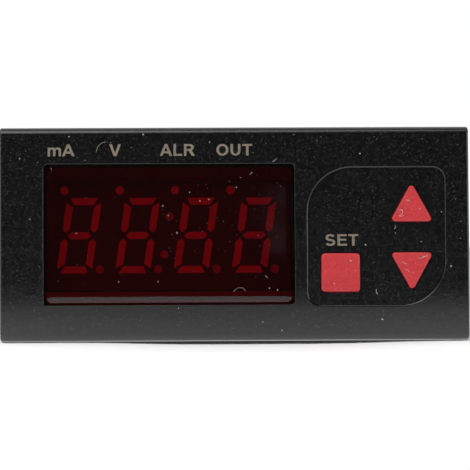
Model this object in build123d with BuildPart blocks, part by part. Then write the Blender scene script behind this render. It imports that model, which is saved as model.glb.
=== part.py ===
from build123d import *
from math import asin, degrees, radians, tan
import os

# Digital panel meter in millimetres: X to the right seen from the front, Y into the panel, Z up.
# The origin is the centre of the seat, the gasket face that lies against the panel.

# Front bezel, the panel cut-out that it covers, and the depth behind the panel
bezel_width = 77.0
bezel_height = 35.0
bezel_depth = 6.0
panel_overlap = 3.0
cutout_clearance = 0.25
gasket_thickness = 0.8
gasket_inset = 0.6
case_depth = 55.7
lower_curve_height = 9.5
lower_curve_radius = 60.0
front_wall = 2.6
front_edge_radius = 1.0
side_edge_radius = 0.4
gasket_corner_radius = 1.0
rim_radius = 0.12
keypad_rim_radius = 0.3
bezel_fit = 0.15

# Display window
window_side_margin = 7.15
window_keypad_gap = 2.2
window_cavity_gap = 0.675
window_z = -0.125
window_corner_radius = 0.7
window_gap = 0.45
window_setback = 0.45
window_bevel_width = 0.95
window_bevel_depth = 0.23
window_lens_radius = 1.0
window_flange = 0.4
window_flange_thickness = 1.0

# Keypad recess: a leaf with two wide and two tight corners
keypad_width = 22.45
keypad_side_margin = 4.05
keypad_cavity_gap = 1.0
keypad_z = -0.55
keypad_depth = 0.5
leaf_wide_radius = 7.3
leaf_tight_radius = 2.0

# Keys
set_key_size = 6.3
set_key_inset = 5.3
set_corner_radius = 0.6
arrow_key_inset = 5.43
arrow_base = 7.1
arrow_height = 6.4
arrow_corner_radius = 0.5
up_base_rise = 2.4
down_base_drop = 2.7
key_gap = 0.2
key_proud = 0.3
key_edge_radius = 0.3
key_play = 0.1
key_collar_thickness = 0.8
set_collar_radius = 3.9
arrow_collar_radius = 2.9
key_stem_radius = 1.5
key_stem_length = 2.3

# Display module
display_side_gap = 0.6
display_height = 18.0
display_shift = -0.365
display_z = -0.08
display_setback = 1.8
display_rim = 1.0
display_cavity_depth = 5.4
resin_back = 1.0
digit_count = 4
digit_margin = 0.76
digit_width = 5.8
digit_height = 12.45
digit_slant = 8.25
segment_width = 1.19
bar_end_outer = 0.6
bar_end_inner = 1.28
side_end_outer = 0.75
side_end_inner = 1.53
middle_half_length = 1.95
middle_gap = 0.46
dot_radius = 0.7
point_x = 3.37
point_z = -5.57
lamp_step_back = 0.49
lamp_x = -3.145
lamp_edge = 1.54
colon_half_height = 3.13
resin_gap = 0.02
display_pin_radius = 0.3
display_pin_count = 8
display_pin_inset = 4.0
display_pin_edge = 1.38

# Circuit boards
board_thickness = 1.6
board_side_gap = 0.4
display_board_gap = 0.35
main_board_rise = 3.25
board_joint_gap = 0.1
hole_play = 0.2
pin_tail = 1.2

# Push switches
switch_size = 6.0
switch_height = 3.3
switch_cover_thickness = 0.3
switch_tab_width = 2.4
switch_tab_length = 1.6
switch_bore_radius = 2.0
switch_floor = 1.0
plunger_head_radius = 1.8
plunger_head_height = 1.1
plunger_radius = 1.3
plunger_play = 0.15
dome_radius = 1.7
dome_height = 0.7
dome_thickness = 0.1
switch_leg_width = 0.7
switch_leg_x = 2.2
switch_leg_z = 2.0

# Controller circuit on the back of the front board
chip_length = 17.9
chip_width = 7.5
chip_height = 2.3
chip_side_gap = 2.75
chip_stand = 0.1
chip_leg_pitch = 1.27
chip_leg_width = 0.42
chip_leg_thickness = 0.25
chip_leg_reach = 1.4

# Pin row between the boards
link_pitch = 2.54
link_pin = 0.64
link_chip_gap = 1.1
link_rise = 6.0
link_reach = 1.5
link_front_sink = 0.2
link_strip_depth = 2.5
link_strip_height = 2.4
link_play = 0.03

# Housing
wall = 2.0
housing_edge_radius = 0.8
step_gap = 0.5
cover_thickness = 1.6
cover_inset = 0.5
cover_fit = 0.1
barb_width = 8.0
barb_height = 0.5
barb_depth = 1.2
barb_x = 20.0
barb_play = 0.1
board_rib = 1.6
board_rib_height = 0.9
board_guide_play = 0.1
boss_size = 3.0
boss_depth = 2.6
post_thickness = 0.8
post_height = 3.4
post_play = 0.15
post_inset = 0.6
vent_count = 9
vent_pitch = 4.0
vent_width = 1.4
vent_length = 10.0
vent_y = 27.0

# Side channels and panel clamps
channel_rise = 6.0
channel_front = 10.5
channel_lip = 1.0
channel_mouth = 5.0
channel_width = 7.4
channel_depth = 3.1
channel_floor_wall = 1.35
tooth_pitch = 1.5
tooth_height = 0.6
tooth_width = 2.8
clamp_rest = 6.0
clamp_length = 27.0
clamp_thickness = 2.65
clamp_height = 10.0
clamp_play = 0.3
pawl_play = 0.1
pawl_teeth = 3
tongue_start = 9.5
tongue_length = 16.0
grip_count = 4
grip_pitch = 2.2
grip_radius = 0.5
clamp_edge_radius = 0.5

# Screw terminals
pole_pitch = 5.08
block_end_gap = 2.0
block_margin = 0.2
block_height = 11.0
block_depth = 9.0
block_gap = 0.1
entry_step = 0.25
entry_height = 4.0
entry_rise = 4.8
entry_flare = 0.3
pole_wall = 0.78
chamber_height = 7.6
chamber_depth = 5.6
chamber_back = 1.1
well_radius = 2.0
cage_play = 0.1
cage_wall = 0.7
cage_height = 6.2
screw_head_radius = 1.8
screw_head_height = 1.6
screw_shank_radius = 1.2
screw_length = 4.4
screw_sink = 1.1
screw_slot = 0.6
screw_slot_depth = 0.8
screw_play = 0.1
driver_hole_radius = 1.95
terminal_pin_width = 1.0

# Supply parts on the main board
core_width = 26.0
transformer_headroom = 1.25
core_stack = 10.0
core_limb = 7.0
transformer_side_gap = 0.8
part_cover_gap = 0.3
core_lift = 1.0
bobbin_wall = 0.9
bobbin_flange = 1.0
coil_play = 0.15
coil_build = 3.9
bobbin_overhang = 5.3
bobbin_foot = 4.0
transformer_pin_radius = 0.4
transformer_pin_pitch = 5.0
transformer_pin_count = 4
relay_length = 19.0
relay_width = 15.5
relay_height = 15.0
relay_edge_radius = 0.6
relay_side_gap = 1.0
relay_pin_size = 0.8
relay_pin_inset = 2.0
cans_fitted = 2
can_radius = 2.5
can_height = 11.0
can_groove = 0.35
can_groove_rise = 1.6
can_gap = 1.6
can_link_gap = 0.25
lead_radius = 0.3
lead_spacing = 2.5
varistor_radius = 4.5
varistor_thickness = 3.6
varistor_side_gap = 0.7
regulator_width = 4.6
regulator_depth = 3.6
regulator_height = 4.8
regulator_lift = 2.0
regulator_gap = 0.4
regulator_lead_count = 3
regulator_lead_pitch = 1.27

# Derived depths along Y, from front to back
bezel_rear = -gasket_thickness
bezel_front = bezel_rear - bezel_depth
wall_inner = bezel_front + front_wall
window_front = bezel_front + window_setback
key_front = bezel_front - key_proud
collar_front = wall_inner + key_play
collar_rear = collar_front + key_collar_thickness
stem_end = collar_rear + key_stem_length
display_front = wall_inner + display_setback
resin_floor = display_front + display_cavity_depth
led_board_front = resin_floor + resin_back
board_front = led_board_front + board_thickness
board_rear = board_front + board_thickness
cover_rear = case_depth - cover_inset
cover_front = cover_rear - cover_thickness
block_rear = cover_front - block_gap
block_front = block_rear - block_depth
step_depth = block_front - step_gap
upper_cover_rear = step_depth - cover_inset
upper_cover_front = upper_cover_rear - cover_thickness
main_board_front = board_rear + pin_tail + board_joint_gap
main_board_rear = block_rear - block_gap
screw_y = block_front + chamber_back + chamber_depth / 2
link_y = main_board_front + link_reach
part_rear = upper_cover_front - part_cover_gap
relay_y = part_rear - relay_width / 2
can_y = link_y + link_strip_depth / 2 + can_link_gap + can_radius
varistor_y = can_y

# Derived widths and heights
cutout_width = bezel_width - 2 * panel_overlap
cutout_height = bezel_height - 2 * panel_overlap
housing_width = cutout_width - 2 * cutout_clearance
housing_height = cutout_height - 2 * cutout_clearance
inner_width = housing_width - 2 * wall
inner_height = housing_height - 2 * wall
housing_front = wall_inner + 2 * bezel_fit
keypad_height = inner_height - 2 * keypad_cavity_gap
keypad_right = bezel_width / 2 - keypad_side_margin
keypad_left = keypad_right - keypad_width
window_left = window_side_margin - bezel_width / 2
window_right = keypad_left - window_keypad_gap
window_width = window_right - window_left
window_height = inner_height - 2 * window_cavity_gap
window_x = (window_left + window_right) / 2
display_width = window_width - 2 * display_side_gap
display_x = window_x + display_shift
digit_pitch = (display_width - 2 * digit_margin) / digit_count
lamp_pitch = digit_pitch - lamp_step_back
lamp_z = display_height / 2 - lamp_edge
display_pin_pitch = (display_width - 2 * display_pin_inset) / (display_pin_count - 1)
display_pin_row = display_height / 2 - display_pin_edge
arrow_key_x = keypad_right - arrow_key_inset
up_base_z = keypad_z + up_base_rise
down_base_z = keypad_z - down_base_drop
set_centre = (keypad_left + set_key_inset, keypad_z - keypad_height / 2 + set_key_inset)
up_centre = (arrow_key_x, up_base_z + arrow_height / 3)
down_centre = (arrow_key_x, down_base_z - arrow_height / 3)
key_centres = [set_centre, up_centre, down_centre]
main_board_top = main_board_rise - inner_height / 2
main_board_bottom = main_board_top - board_thickness
block_top = main_board_top + block_height
entry_z = main_board_top + entry_rise
ledge_inner = block_top + 2 * block_gap
ledge_top = ledge_inner + cover_thickness
channel_z = main_board_top + channel_rise
channel_floor = housing_width / 2 - channel_depth
pad_inner = channel_floor - channel_floor_wall

# Places and counts that follow from the room inside
chip_left = chip_side_gap - inner_width / 2
chip_x = chip_left + chip_length / 2
chip_leg_count = int(chip_length / chip_leg_pitch)
link_left = chip_left + chip_length + link_chip_gap
link_right = set_centre[0] - switch_size / 2
link_count = int((link_right - link_left) / link_pitch)
link_x = link_left + link_count * link_pitch / 2
link_z = main_board_top + link_rise
pole_count = int((inner_width - 2 * block_end_gap) / pole_pitch)
chamber_width = pole_pitch - pole_wall
entry_width = chamber_width - 2 * entry_step
pole_places = [((i - (pole_count - 1) / 2) * pole_pitch) for i in range(pole_count)]
transformer_x = transformer_side_gap + core_width / 2 - pad_inner
relay_x = pad_inner - relay_side_gap - relay_length / 2
regulator_x = relay_x - relay_length / 2 - regulator_gap - regulator_width / 2
varistor_x = pad_inner - varistor_side_gap - varistor_radius
can_spacing = 2 * can_radius + can_gap
can_room = varistor_x - varistor_radius - transformer_x - core_width / 2
can_count = min(cans_fitted, int(can_room / can_spacing))


def facing(y):
    """Plane seen from the front at depth y, with X to the right and Z up."""
    return Plane.XZ.offset(-y)


def level(z):
    """Plane seen from above at height z."""
    return Plane.XY.offset(z)


def front_rim(new_edges):
    """Those of the edges that lie on the bezel's front face."""
    on_face = new_edges.filter_by_position(Axis.Y, bezel_front - key_play, bezel_front + keypad_depth / 2)
    return on_face.filter_by(Axis.Y, reverse=True)


def set_outline(grow):
    """Rounded square of the set key, grown all round."""
    with Locations(set_centre):
        size = set_key_size + 2 * grow
        RectangleRounded(size, size, set_corner_radius + grow)


def arrow_outline(base_z, height, grow):
    """Rounded triangle of an arrow key from its base line, grown all round."""
    half = arrow_base / 2
    left = (arrow_key_x - half, base_z)
    right = (arrow_key_x + half, base_z)
    Polygon(left, right, (arrow_key_x, base_z + height), align=None)
    fillet(vertices(), arrow_corner_radius)
    if grow > 0:
        offset(amount=grow)


def up_outline(grow):
    """Outline of the up key."""
    arrow_outline(up_base_z, arrow_height, grow)


def down_outline(grow):
    """Outline of the down key."""
    arrow_outline(down_base_z, -arrow_height, grow)


# Front bezel: a flat face that curves back towards its lower edge
with BuildPart() as front_bezel:
    with BuildSketch(Plane.YZ.offset(-bezel_width / 2)):
        with BuildLine():
            curve_start = lower_curve_height - bezel_height / 2
            curve_angle = degrees(asin(lower_curve_height / lower_curve_radius))
            face_line = Line((bezel_front, bezel_height / 2), (bezel_front, curve_start))
            lower_curve = CenterArc(
                (bezel_front + lower_curve_radius, curve_start), lower_curve_radius, 180, curve_angle
            )
            Polyline(
                lower_curve @ 1,
                (bezel_rear, -bezel_height / 2),
                (bezel_rear, bezel_height / 2),
                face_line @ 0,
            )
        make_face()
        front_corners = vertices().filter_by_position(Axis.X, bezel_front, wall_inner)
        fillet(front_corners.sort_by(Axis.Y)[0], front_edge_radius)
        fillet(vertices().sort_by(Axis.Y)[-2:].sort_by(Axis.X)[0], front_edge_radius)
    extrude(amount=bezel_width)
    end_edges = faces().filter_by(Axis.X).edges()
    fillet(end_edges - end_edges.group_by(Axis.Y)[-1], side_edge_radius)
    # Cap that fits over the front of the housing
    with BuildSketch(facing(bezel_rear)):
        Rectangle(housing_width + 2 * bezel_fit, housing_height + 2 * bezel_fit)
    extrude(amount=bezel_rear - wall_inner, mode=Mode.SUBTRACT)
    # Pockets for the housing's snap barbs
    with BuildSketch(facing(bezel_rear - barb_depth / 2)):
        with GridLocations(2 * barb_x, housing_height + 2 * bezel_fit, 2, 2):
            Rectangle(barb_width + 4 * barb_play, 2 * (barb_height + barb_play))
    extrude(amount=barb_depth + 2 * barb_play, mode=Mode.SUBTRACT)
    # Posts that hold the front board against the housing
    with BuildSketch(facing(wall_inner)):
        with GridLocations(
            inner_width - 2 * post_play - post_thickness,
            inner_height - 2 * post_inset - post_height,
            2,
            2,
        ):
            Rectangle(post_thickness, post_height)
    extrude(amount=wall_inner - board_front)
    # Window aperture, leaf-shaped keypad recess and key holes
    with BuildSketch(facing(wall_inner)):
        with Locations((window_x, window_z)):
            RectangleRounded(window_width, window_height, window_corner_radius)
    extrude(amount=bezel_depth, mode=Mode.SUBTRACT)
    fillet(front_rim(edges(Select.LAST)), rim_radius)
    with BuildSketch(facing(bezel_front + keypad_depth)):
        with Locations(((keypad_left + keypad_right) / 2, keypad_z)):
            Rectangle(keypad_width, keypad_height)
        leaf_corners = vertices().sort_by(lambda v: v.X - v.Y)
        fillet([leaf_corners[1], leaf_corners[2]], leaf_tight_radius)
        leaf_corners = vertices().sort_by(lambda v: v.X - v.Y)
        fillet([leaf_corners[0], leaf_corners[-1]], leaf_wide_radius)
    extrude(amount=bezel_depth, mode=Mode.SUBTRACT)
    fillet(front_rim(edges(Select.LAST)), keypad_rim_radius)
    for outline in (set_outline, up_outline, down_outline):
        with BuildSketch(facing(wall_inner)):
            outline(key_gap)
        extrude(amount=bezel_depth, mode=Mode.SUBTRACT)

# Display window: bevelled lens with a flange behind the bezel wall
with BuildPart() as display_window:
    with BuildSketch(facing(wall_inner)):
        with Locations((window_x, window_z)):
            RectangleRounded(
                window_width - 2 * window_gap, window_height - 2 * window_gap, window_lens_radius
            )
    extrude(amount=wall_inner - window_front)
    lens_face = faces().sort_by(Axis.Y)[0]
    chamfer(lens_face.edges(), window_bevel_width, window_bevel_depth, reference=lens_face)
    with BuildSketch(facing(wall_inner)):
        with Locations((window_x, window_z)):
            RectangleRounded(
                window_width + 2 * window_flange, window_height + 2 * window_flange, window_corner_radius
            )
    extrude(amount=-window_flange_thickness)


def make_key(outline, centre, collar_radius):
    """Key cap with a round collar that stops it behind the bezel, and a stem for its switch."""
    with BuildPart() as key:
        with BuildSketch(facing(collar_front)):
            outline(0)
        extrude(amount=collar_front - key_front)
        fillet(faces().sort_by(Axis.Y)[0].edges(), key_edge_radius)
        with BuildSketch(facing(collar_front)):
            with Locations(centre):
                Circle(collar_radius)
        extrude(amount=-key_collar_thickness)
        with BuildSketch(facing(collar_rear)):
            with Locations(centre):
                Circle(key_stem_radius)
        extrude(amount=-key_stem_length)
    return key


set_button = make_key(set_outline, set_centre, set_collar_radius)
up_button = make_key(up_outline, up_centre, arrow_collar_radius)
down_button = make_key(down_outline, down_centre, arrow_collar_radius)

# Rubber ring between bezel and panel
with BuildPart() as panel_gasket:
    with BuildSketch(facing(bezel_rear)):
        RectangleRounded(bezel_width - 2 * gasket_inset, bezel_height - 2 * gasket_inset, gasket_corner_radius)
        Rectangle(
            housing_width + 2 * bezel_fit, housing_height + 2 * bezel_fit, mode=Mode.SUBTRACT
        )
    extrude(amount=-gasket_thickness)


def digit_segments(centre_x):
    """Draw the seven slanted bars of one digit around its centre."""
    half_width = digit_width / 2
    half_height = digit_height / 2
    half_bar = segment_width / 2
    lean = tan(radians(digit_slant))
    bar = [
        (bar_end_outer - half_width, half_height),
        (half_width - bar_end_outer, half_height),
        (half_width - bar_end_inner, half_height - segment_width),
        (bar_end_inner - half_width, half_height - segment_width),
    ]
    side = [
        (half_width, half_height - side_end_outer),
        (half_width, middle_gap + half_bar),
        (half_width - half_bar, middle_gap),
        (half_width - segment_width, middle_gap + half_bar),
        (half_width - segment_width, half_height - side_end_inner),
    ]
    middle = [
        (-middle_half_length, 0),
        (half_bar - middle_half_length, half_bar),
        (middle_half_length - half_bar, half_bar),
        (middle_half_length, 0),
        (middle_half_length - half_bar, -half_bar),
        (half_bar - middle_half_length, -half_bar),
    ]
    bars = [middle]
    bars += [[(u, up * v) for u, v in bar] for up in (1, -1)]
    bars += [[(right * u, up * v) for u, v in side] for right in (1, -1) for up in (1, -1)]
    for points in bars:
        Polygon(*[(centre_x + u + v * lean, display_z + v) for u, v in points], align=None)


def display_openings():
    """Draw every lit place of the display: digit bars, points, colon and indicator dots."""
    lean = tan(radians(digit_slant))
    for i in range(digit_count):
        offset_steps = i - (digit_count - 1) / 2
        digit_segments(display_x + offset_steps * digit_pitch)
        with Locations((display_x + offset_steps * digit_pitch + point_x, display_z + point_z)):
            Circle(dot_radius)
        with Locations((display_x + lamp_x + offset_steps * lamp_pitch, display_z + lamp_z)):
            Circle(dot_radius)
    for v in (colon_half_height, -colon_half_height):
        with Locations((display_x + v * lean, display_z + v)):
            Circle(dot_radius)


# Display body with a cavity for each lit place, open at the back for its carrier board
with BuildPart() as display_reflector:
    with BuildSketch(facing(display_front)):
        with Locations((display_x, display_z)):
            Rectangle(display_width, display_height)
    extrude(amount=display_front - board_front)
    with BuildSketch(facing(resin_floor)):
        with Locations((display_x, display_z)):
            Rectangle(display_width - 2 * display_rim, display_height - 2 * display_rim)
    extrude(amount=resin_floor - board_front, mode=Mode.SUBTRACT)
    with BuildSketch(facing(resin_floor)):
        display_openings()
    extrude(amount=display_cavity_depth, mode=Mode.SUBTRACT)

# Cast resin: one back layer with a raised bar or dot in each cavity
with BuildPart() as segment_resin:
    with BuildSketch(facing(resin_floor)):
        with Locations((display_x, display_z)):
            Rectangle(
                display_width - 2 * display_rim - 2 * resin_gap,
                display_height - 2 * display_rim - 2 * resin_gap,
            )
    extrude(amount=-resin_back)
    with BuildSketch(facing(resin_floor)):
        display_openings()
        offset(amount=-resin_gap, mode=Mode.REPLACE)
    extrude(amount=display_cavity_depth)

# Carrier board of the display
with BuildPart() as led_board:
    with BuildSketch(facing(led_board_front)):
        with Locations((display_x, display_z)):
            Rectangle(
                display_width - 2 * display_rim - 2 * hole_play,
                display_height - 2 * display_rim - 2 * hole_play,
            )
    extrude(amount=-board_thickness)


def display_pin_grid(radius):
    """Two rows of round pins or holes under the display."""
    with Locations((display_x, display_z)):
        with GridLocations(display_pin_pitch, 2 * display_pin_row, display_pin_count, 2):
            Circle(radius)


with BuildPart() as display_pins:
    with BuildSketch(facing(board_front)):
        display_pin_grid(display_pin_radius)
    extrude(amount=-board_thickness - pin_tail)


def switch_leg_grid(size):
    """Four square legs or holes at each push switch."""
    for centre in key_centres:
        with Locations(centre):
            with GridLocations(2 * switch_leg_x, 2 * switch_leg_z, 2, 2):
                Rectangle(size, size)


def link_grid(size):
    """Row of square link pins or holes, seen from the front or from above."""
    with GridLocations(link_pitch, 0, link_count, 1):
        Rectangle(size, size)


# Front board that carries the display, the switches and the controller
with BuildPart() as display_board:
    with BuildSketch(facing(board_front)):
        Rectangle(inner_width - 2 * board_side_gap, inner_height - 2 * display_board_gap)
    extrude(amount=-board_thickness)
    with BuildSketch(facing(board_front)):
        display_pin_grid(display_pin_radius + hole_play)
        switch_leg_grid(switch_leg_width + 2 * hole_play)
        with Locations((link_x, link_z)):
            link_grid(link_pin + 2 * hole_play)
    extrude(amount=-board_thickness, mode=Mode.SUBTRACT)

# Push switches: bases, covers, legs, and the moving plungers with their snap domes
switch_front = board_front - switch_height
switch_floor_y = board_front - switch_floor
dome_top = switch_floor_y - dome_height
dome_bend = (dome_radius**2 + dome_height**2) / (2 * dome_height)
plunger_head_front = dome_top - plunger_head_height
cover_plate_front = switch_front - switch_cover_thickness

with BuildPart() as switch_bases:
    with BuildSketch(facing(switch_front)):
        with Locations(*key_centres):
            Rectangle(switch_size, switch_size)
    extrude(amount=-switch_height)
    with BuildSketch(facing(switch_front)):
        with Locations(*key_centres):
            Circle(switch_bore_radius)
    extrude(amount=switch_front - switch_floor_y, mode=Mode.SUBTRACT)

with BuildPart() as switch_covers:
    with BuildSketch(facing(cover_plate_front)):
        with Locations(*key_centres):
            Rectangle(switch_size, switch_size + 2 * switch_cover_thickness)
            Circle(plunger_radius + plunger_play, mode=Mode.SUBTRACT)
    extrude(amount=-switch_cover_thickness)
    with BuildSketch(facing(switch_front)):
        with Locations(*key_centres):
            with GridLocations(0, switch_size + switch_cover_thickness, 1, 2):
                Rectangle(switch_tab_width, switch_cover_thickness)
    extrude(amount=-switch_tab_length)

with BuildPart() as switch_legs:
    with BuildSketch(facing(board_front)):
        switch_leg_grid(switch_leg_width)
    extrude(amount=-board_thickness - pin_tail)


def make_plunger(centre):
    """Switch plunger: a head in the base and a pin that meets the key's stem."""
    with BuildPart() as plunger:
        with BuildSketch(facing(dome_top)):
            with Locations(centre):
                Circle(plunger_head_radius)
        extrude(amount=plunger_head_height)
        with BuildSketch(facing(plunger_head_front)):
            with Locations(centre):
                Circle(plunger_radius)
        extrude(amount=plunger_head_front - stem_end)
    return plunger


def make_dome(centre):
    """Snap dome: a thin shallow cap turned about the key's axis."""
    x, z = centre
    with BuildPart() as dome:
        with BuildSketch(Plane(origin=(x, switch_floor_y, z), x_dir=(1, 0, 0), z_dir=(0, 0, 1))):
            with Locations((0, dome_bend - dome_height)):
                Circle(dome_bend)
                Circle(dome_bend - dome_thickness, mode=Mode.SUBTRACT)
            Rectangle(dome_radius, dome_height, align=(Align.MIN, Align.MAX), mode=Mode.INTERSECT)
        revolve(axis=Axis((x, switch_floor_y, z), (0, 1, 0)))
    return dome


set_plunger, up_plunger, down_plunger = [make_plunger(centre) for centre in key_centres]
set_dome, up_dome, down_dome = [make_dome(centre) for centre in key_centres]

# Controller circuit with its bent legs
chip_front = board_rear + chip_stand
leg_places = [chip_x + (i - (chip_leg_count - 1) / 2) * chip_leg_pitch for i in range(chip_leg_count)]

with BuildPart() as controller_chip:
    with BuildSketch(facing(chip_front)):
        with Locations((chip_x, display_z)):
            Rectangle(chip_length, chip_width)
    extrude(amount=-chip_height)

with BuildPart() as controller_legs:
    with BuildSketch(*[Plane.YZ.offset(x - chip_leg_width / 2) for x in leg_places]):
        leg_mid = chip_front + chip_height / 2
        for side in (1, -1):
            root = display_z + side * chip_width / 2
            knee = root + side * chip_leg_reach / 2
            toe = root + side * chip_leg_reach
            inner_knee = knee - side * chip_leg_thickness
            Polygon(
                (leg_mid, root),
                (leg_mid, knee),
                (board_rear + chip_leg_thickness, knee),
                (board_rear + chip_leg_thickness, toe),
                (board_rear, toe),
                (board_rear, inner_knee),
                (leg_mid - chip_leg_thickness, inner_knee),
                (leg_mid - chip_leg_thickness, root),
                align=None,
            )
    extrude(amount=chip_leg_width)

# Pin row between the boards
with BuildPart() as link_strip:
    with BuildSketch(level(main_board_top)):
        with Locations((link_x, link_y)):
            Rectangle(link_count * link_pitch, link_strip_depth)
    extrude(amount=link_strip_height)
    with BuildSketch(level(main_board_top)):
        with Locations((link_x, link_y)):
            link_grid(link_pin + 2 * link_play)
    extrude(amount=link_strip_height, mode=Mode.SUBTRACT)

link_places = [link_x + (i - (link_count - 1) / 2) * link_pitch for i in range(link_count)]

with BuildPart() as link_pins:
    with BuildSketch(*[Plane.YZ.offset(x - link_pin / 2) for x in link_places]):
        half_pin = link_pin / 2
        tail = main_board_bottom - pin_tail
        Polygon(
            (board_front + link_front_sink, link_z + half_pin),
            (link_y + half_pin, link_z + half_pin),
            (link_y + half_pin, tail),
            (link_y - half_pin, tail),
            (link_y - half_pin, link_z - half_pin),
            (board_front + link_front_sink, link_z - half_pin),
            align=None,
        )
    extrude(amount=link_pin)

# Channels for the clamps are as long as the side wall behind the front board
channel_length = case_depth - channel_front
tooth_count = int((cover_front - block_gap - channel_front) / tooth_pitch) - 1


def ratchet_tooth(tip_out):
    """Saw tooth drawn from above, steep towards the panel, with its tip pointing to tip_out."""
    Polygon((0, 0), (tip_out, 0), (0, tooth_pitch), align=None)


# Housing
with BuildPart() as housing:
    with BuildSketch(Plane.YZ.offset(-housing_width / 2)):
        Polygon(
            (housing_front, -housing_height / 2),
            (case_depth, -housing_height / 2),
            (case_depth, ledge_top),
            (step_depth, ledge_top),
            (step_depth, housing_height / 2),
            (housing_front, housing_height / 2),
            align=None,
        )
    extrude(amount=housing_width)
    fillet(edges().filter_by(Axis.Y).group_by(Axis.Z)[0], housing_edge_radius)
    fillet(edges().filter_by(Axis.Y).group_by(Axis.Z)[-1], housing_edge_radius)
    with BuildSketch(facing(housing_front)):
        Rectangle(inner_width, inner_height)
    extrude(amount=housing_front - case_depth, mode=Mode.SUBTRACT)
    # Thick pads that carry the clamp channels and guide the main board from above
    pad_top = channel_z + channel_width / 2 + channel_floor_wall
    pad_bottom = main_board_top + board_guide_play
    pad_front = channel_front - channel_floor_wall
    with BuildSketch(facing(pad_front)):
        for side in (1, -1):
            with Locations((side * (pad_inner + inner_width / 2) / 2, (pad_top + pad_bottom) / 2)):
                Rectangle(inner_width / 2 - pad_inner, pad_top - pad_bottom)
    extrude(amount=pad_front - cover_front + block_gap)
    # Ribs under the main board, and bosses behind the front board
    with BuildSketch(facing(board_rear)):
        for side in (1, -1):
            rib_z = main_board_bottom - board_guide_play - board_rib_height / 2
            with Locations((side * (inner_width - board_rib) / 2, rib_z)):
                Rectangle(board_rib, board_rib_height)
    extrude(amount=board_rear - block_front)
    with BuildSketch(facing(board_rear)):
        with GridLocations(inner_width - boss_size, inner_height - board_rib_height, 2, 2):
            Rectangle(boss_size, board_rib_height)
    extrude(amount=-boss_depth)
    # T-shaped clamp channels with a ratchet on their floor
    for side in (1, -1):
        outer = side * housing_width / 2
        with BuildSketch(facing(channel_front)):
            with Locations((outer - side * channel_depth / 2, channel_z)):
                Rectangle(channel_depth, channel_mouth)
            with Locations((outer - side * (channel_depth + channel_lip) / 2, channel_z)):
                Rectangle(channel_depth - channel_lip, channel_width)
        extrude(amount=-channel_length, mode=Mode.SUBTRACT)
        with BuildSketch(level(channel_z - tooth_width / 2)):
            for i in range(tooth_count):
                with Locations((side * channel_floor, channel_front + (i + 1) * tooth_pitch)):
                    ratchet_tooth(side * tooth_height)
        extrude(amount=tooth_width)
    # Barbs for the bezel, windows for the cover's catches, and vents
    with BuildSketch(facing(bezel_rear - barb_depth)):
        with GridLocations(2 * barb_x, housing_height, 2, 2):
            Rectangle(barb_width, 2 * barb_height)
    extrude(amount=barb_depth / 2)
    with BuildSketch(level(0)):
        with GridLocations(2 * barb_x, 0, 2, 1):
            with Locations((0, upper_cover_rear - cover_thickness / 2)):
                Rectangle(barb_width + 4 * barb_play, barb_depth)
    extrude(amount=housing_height, mode=Mode.SUBTRACT)
    with BuildSketch(level(0)):
        with GridLocations(2 * barb_x, 0, 2, 1):
            with Locations((0, cover_rear - cover_thickness / 2)):
                Rectangle(barb_width + 4 * barb_play, barb_depth)
    extrude(amount=-housing_height, mode=Mode.SUBTRACT)
    with BuildSketch(level(0)):
        with Locations((0, vent_y)):
            with GridLocations(vent_pitch, 0, vent_count, 1):
                SlotOverall(vent_length, vent_width, rotation=90)
    extrude(amount=housing_height, both=True, mode=Mode.SUBTRACT)

# Stepped rear cover
with BuildPart() as rear_cover:
    with BuildSketch(Plane.YZ.offset(cover_fit - inner_width / 2)):
        half_height = inner_height / 2 - cover_fit
        Polygon(
            (upper_cover_front, half_height),
            (upper_cover_rear, half_height),
            (upper_cover_rear, ledge_top),
            (cover_rear, ledge_top),
            (cover_rear, -half_height),
            (cover_front, -half_height),
            (cover_front, ledge_inner),
            (upper_cover_front, ledge_inner),
            align=None,
        )
    extrude(amount=inner_width - 2 * cover_fit)
    # Catches on the top and bottom edges
    with BuildSketch(level(half_height)):
        with GridLocations(2 * barb_x, 0, 2, 1):
            with Locations((0, upper_cover_rear - cover_thickness / 2)):
                Rectangle(barb_width, barb_depth - 2 * barb_play)
    extrude(amount=barb_height)
    with BuildSketch(level(-half_height)):
        with GridLocations(2 * barb_x, 0, 2, 1):
            with Locations((0, cover_rear - cover_thickness / 2)):
                Rectangle(barb_width, barb_depth - 2 * barb_play)
    extrude(amount=-barb_height)
    # Way out for the clamps at the end of their channels
    with BuildSketch(facing(cover_front)):
        for side in (1, -1):
            with Locations((side * (channel_floor + inner_width / 2) / 2, channel_z)):
                notch_width = inner_width / 2 - channel_floor + 2 * cover_fit
                Rectangle(notch_width, channel_width + 2 * cover_fit)
    extrude(amount=-cover_thickness, mode=Mode.SUBTRACT)
    # Screwdriver holes over the screws and wire entries in front of the cages
    with BuildSketch(level(ledge_inner)):
        with Locations(*[(x, screw_y) for x in pole_places]):
            Circle(driver_hole_radius)
    extrude(amount=cover_thickness, mode=Mode.SUBTRACT)
    with BuildSketch(facing(cover_rear)):
        with Locations(*[(x, entry_z) for x in pole_places]):
            Rectangle(entry_width, entry_height)
    extrude(amount=cover_thickness, mode=Mode.SUBTRACT)
    entry_edges = faces().group_by(Axis.Y)[-1].sort_by(SortBy.AREA)[-1].inner_wires()
    chamfer([edge for wire in entry_edges for edge in wire.edges()], entry_flare)


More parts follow.
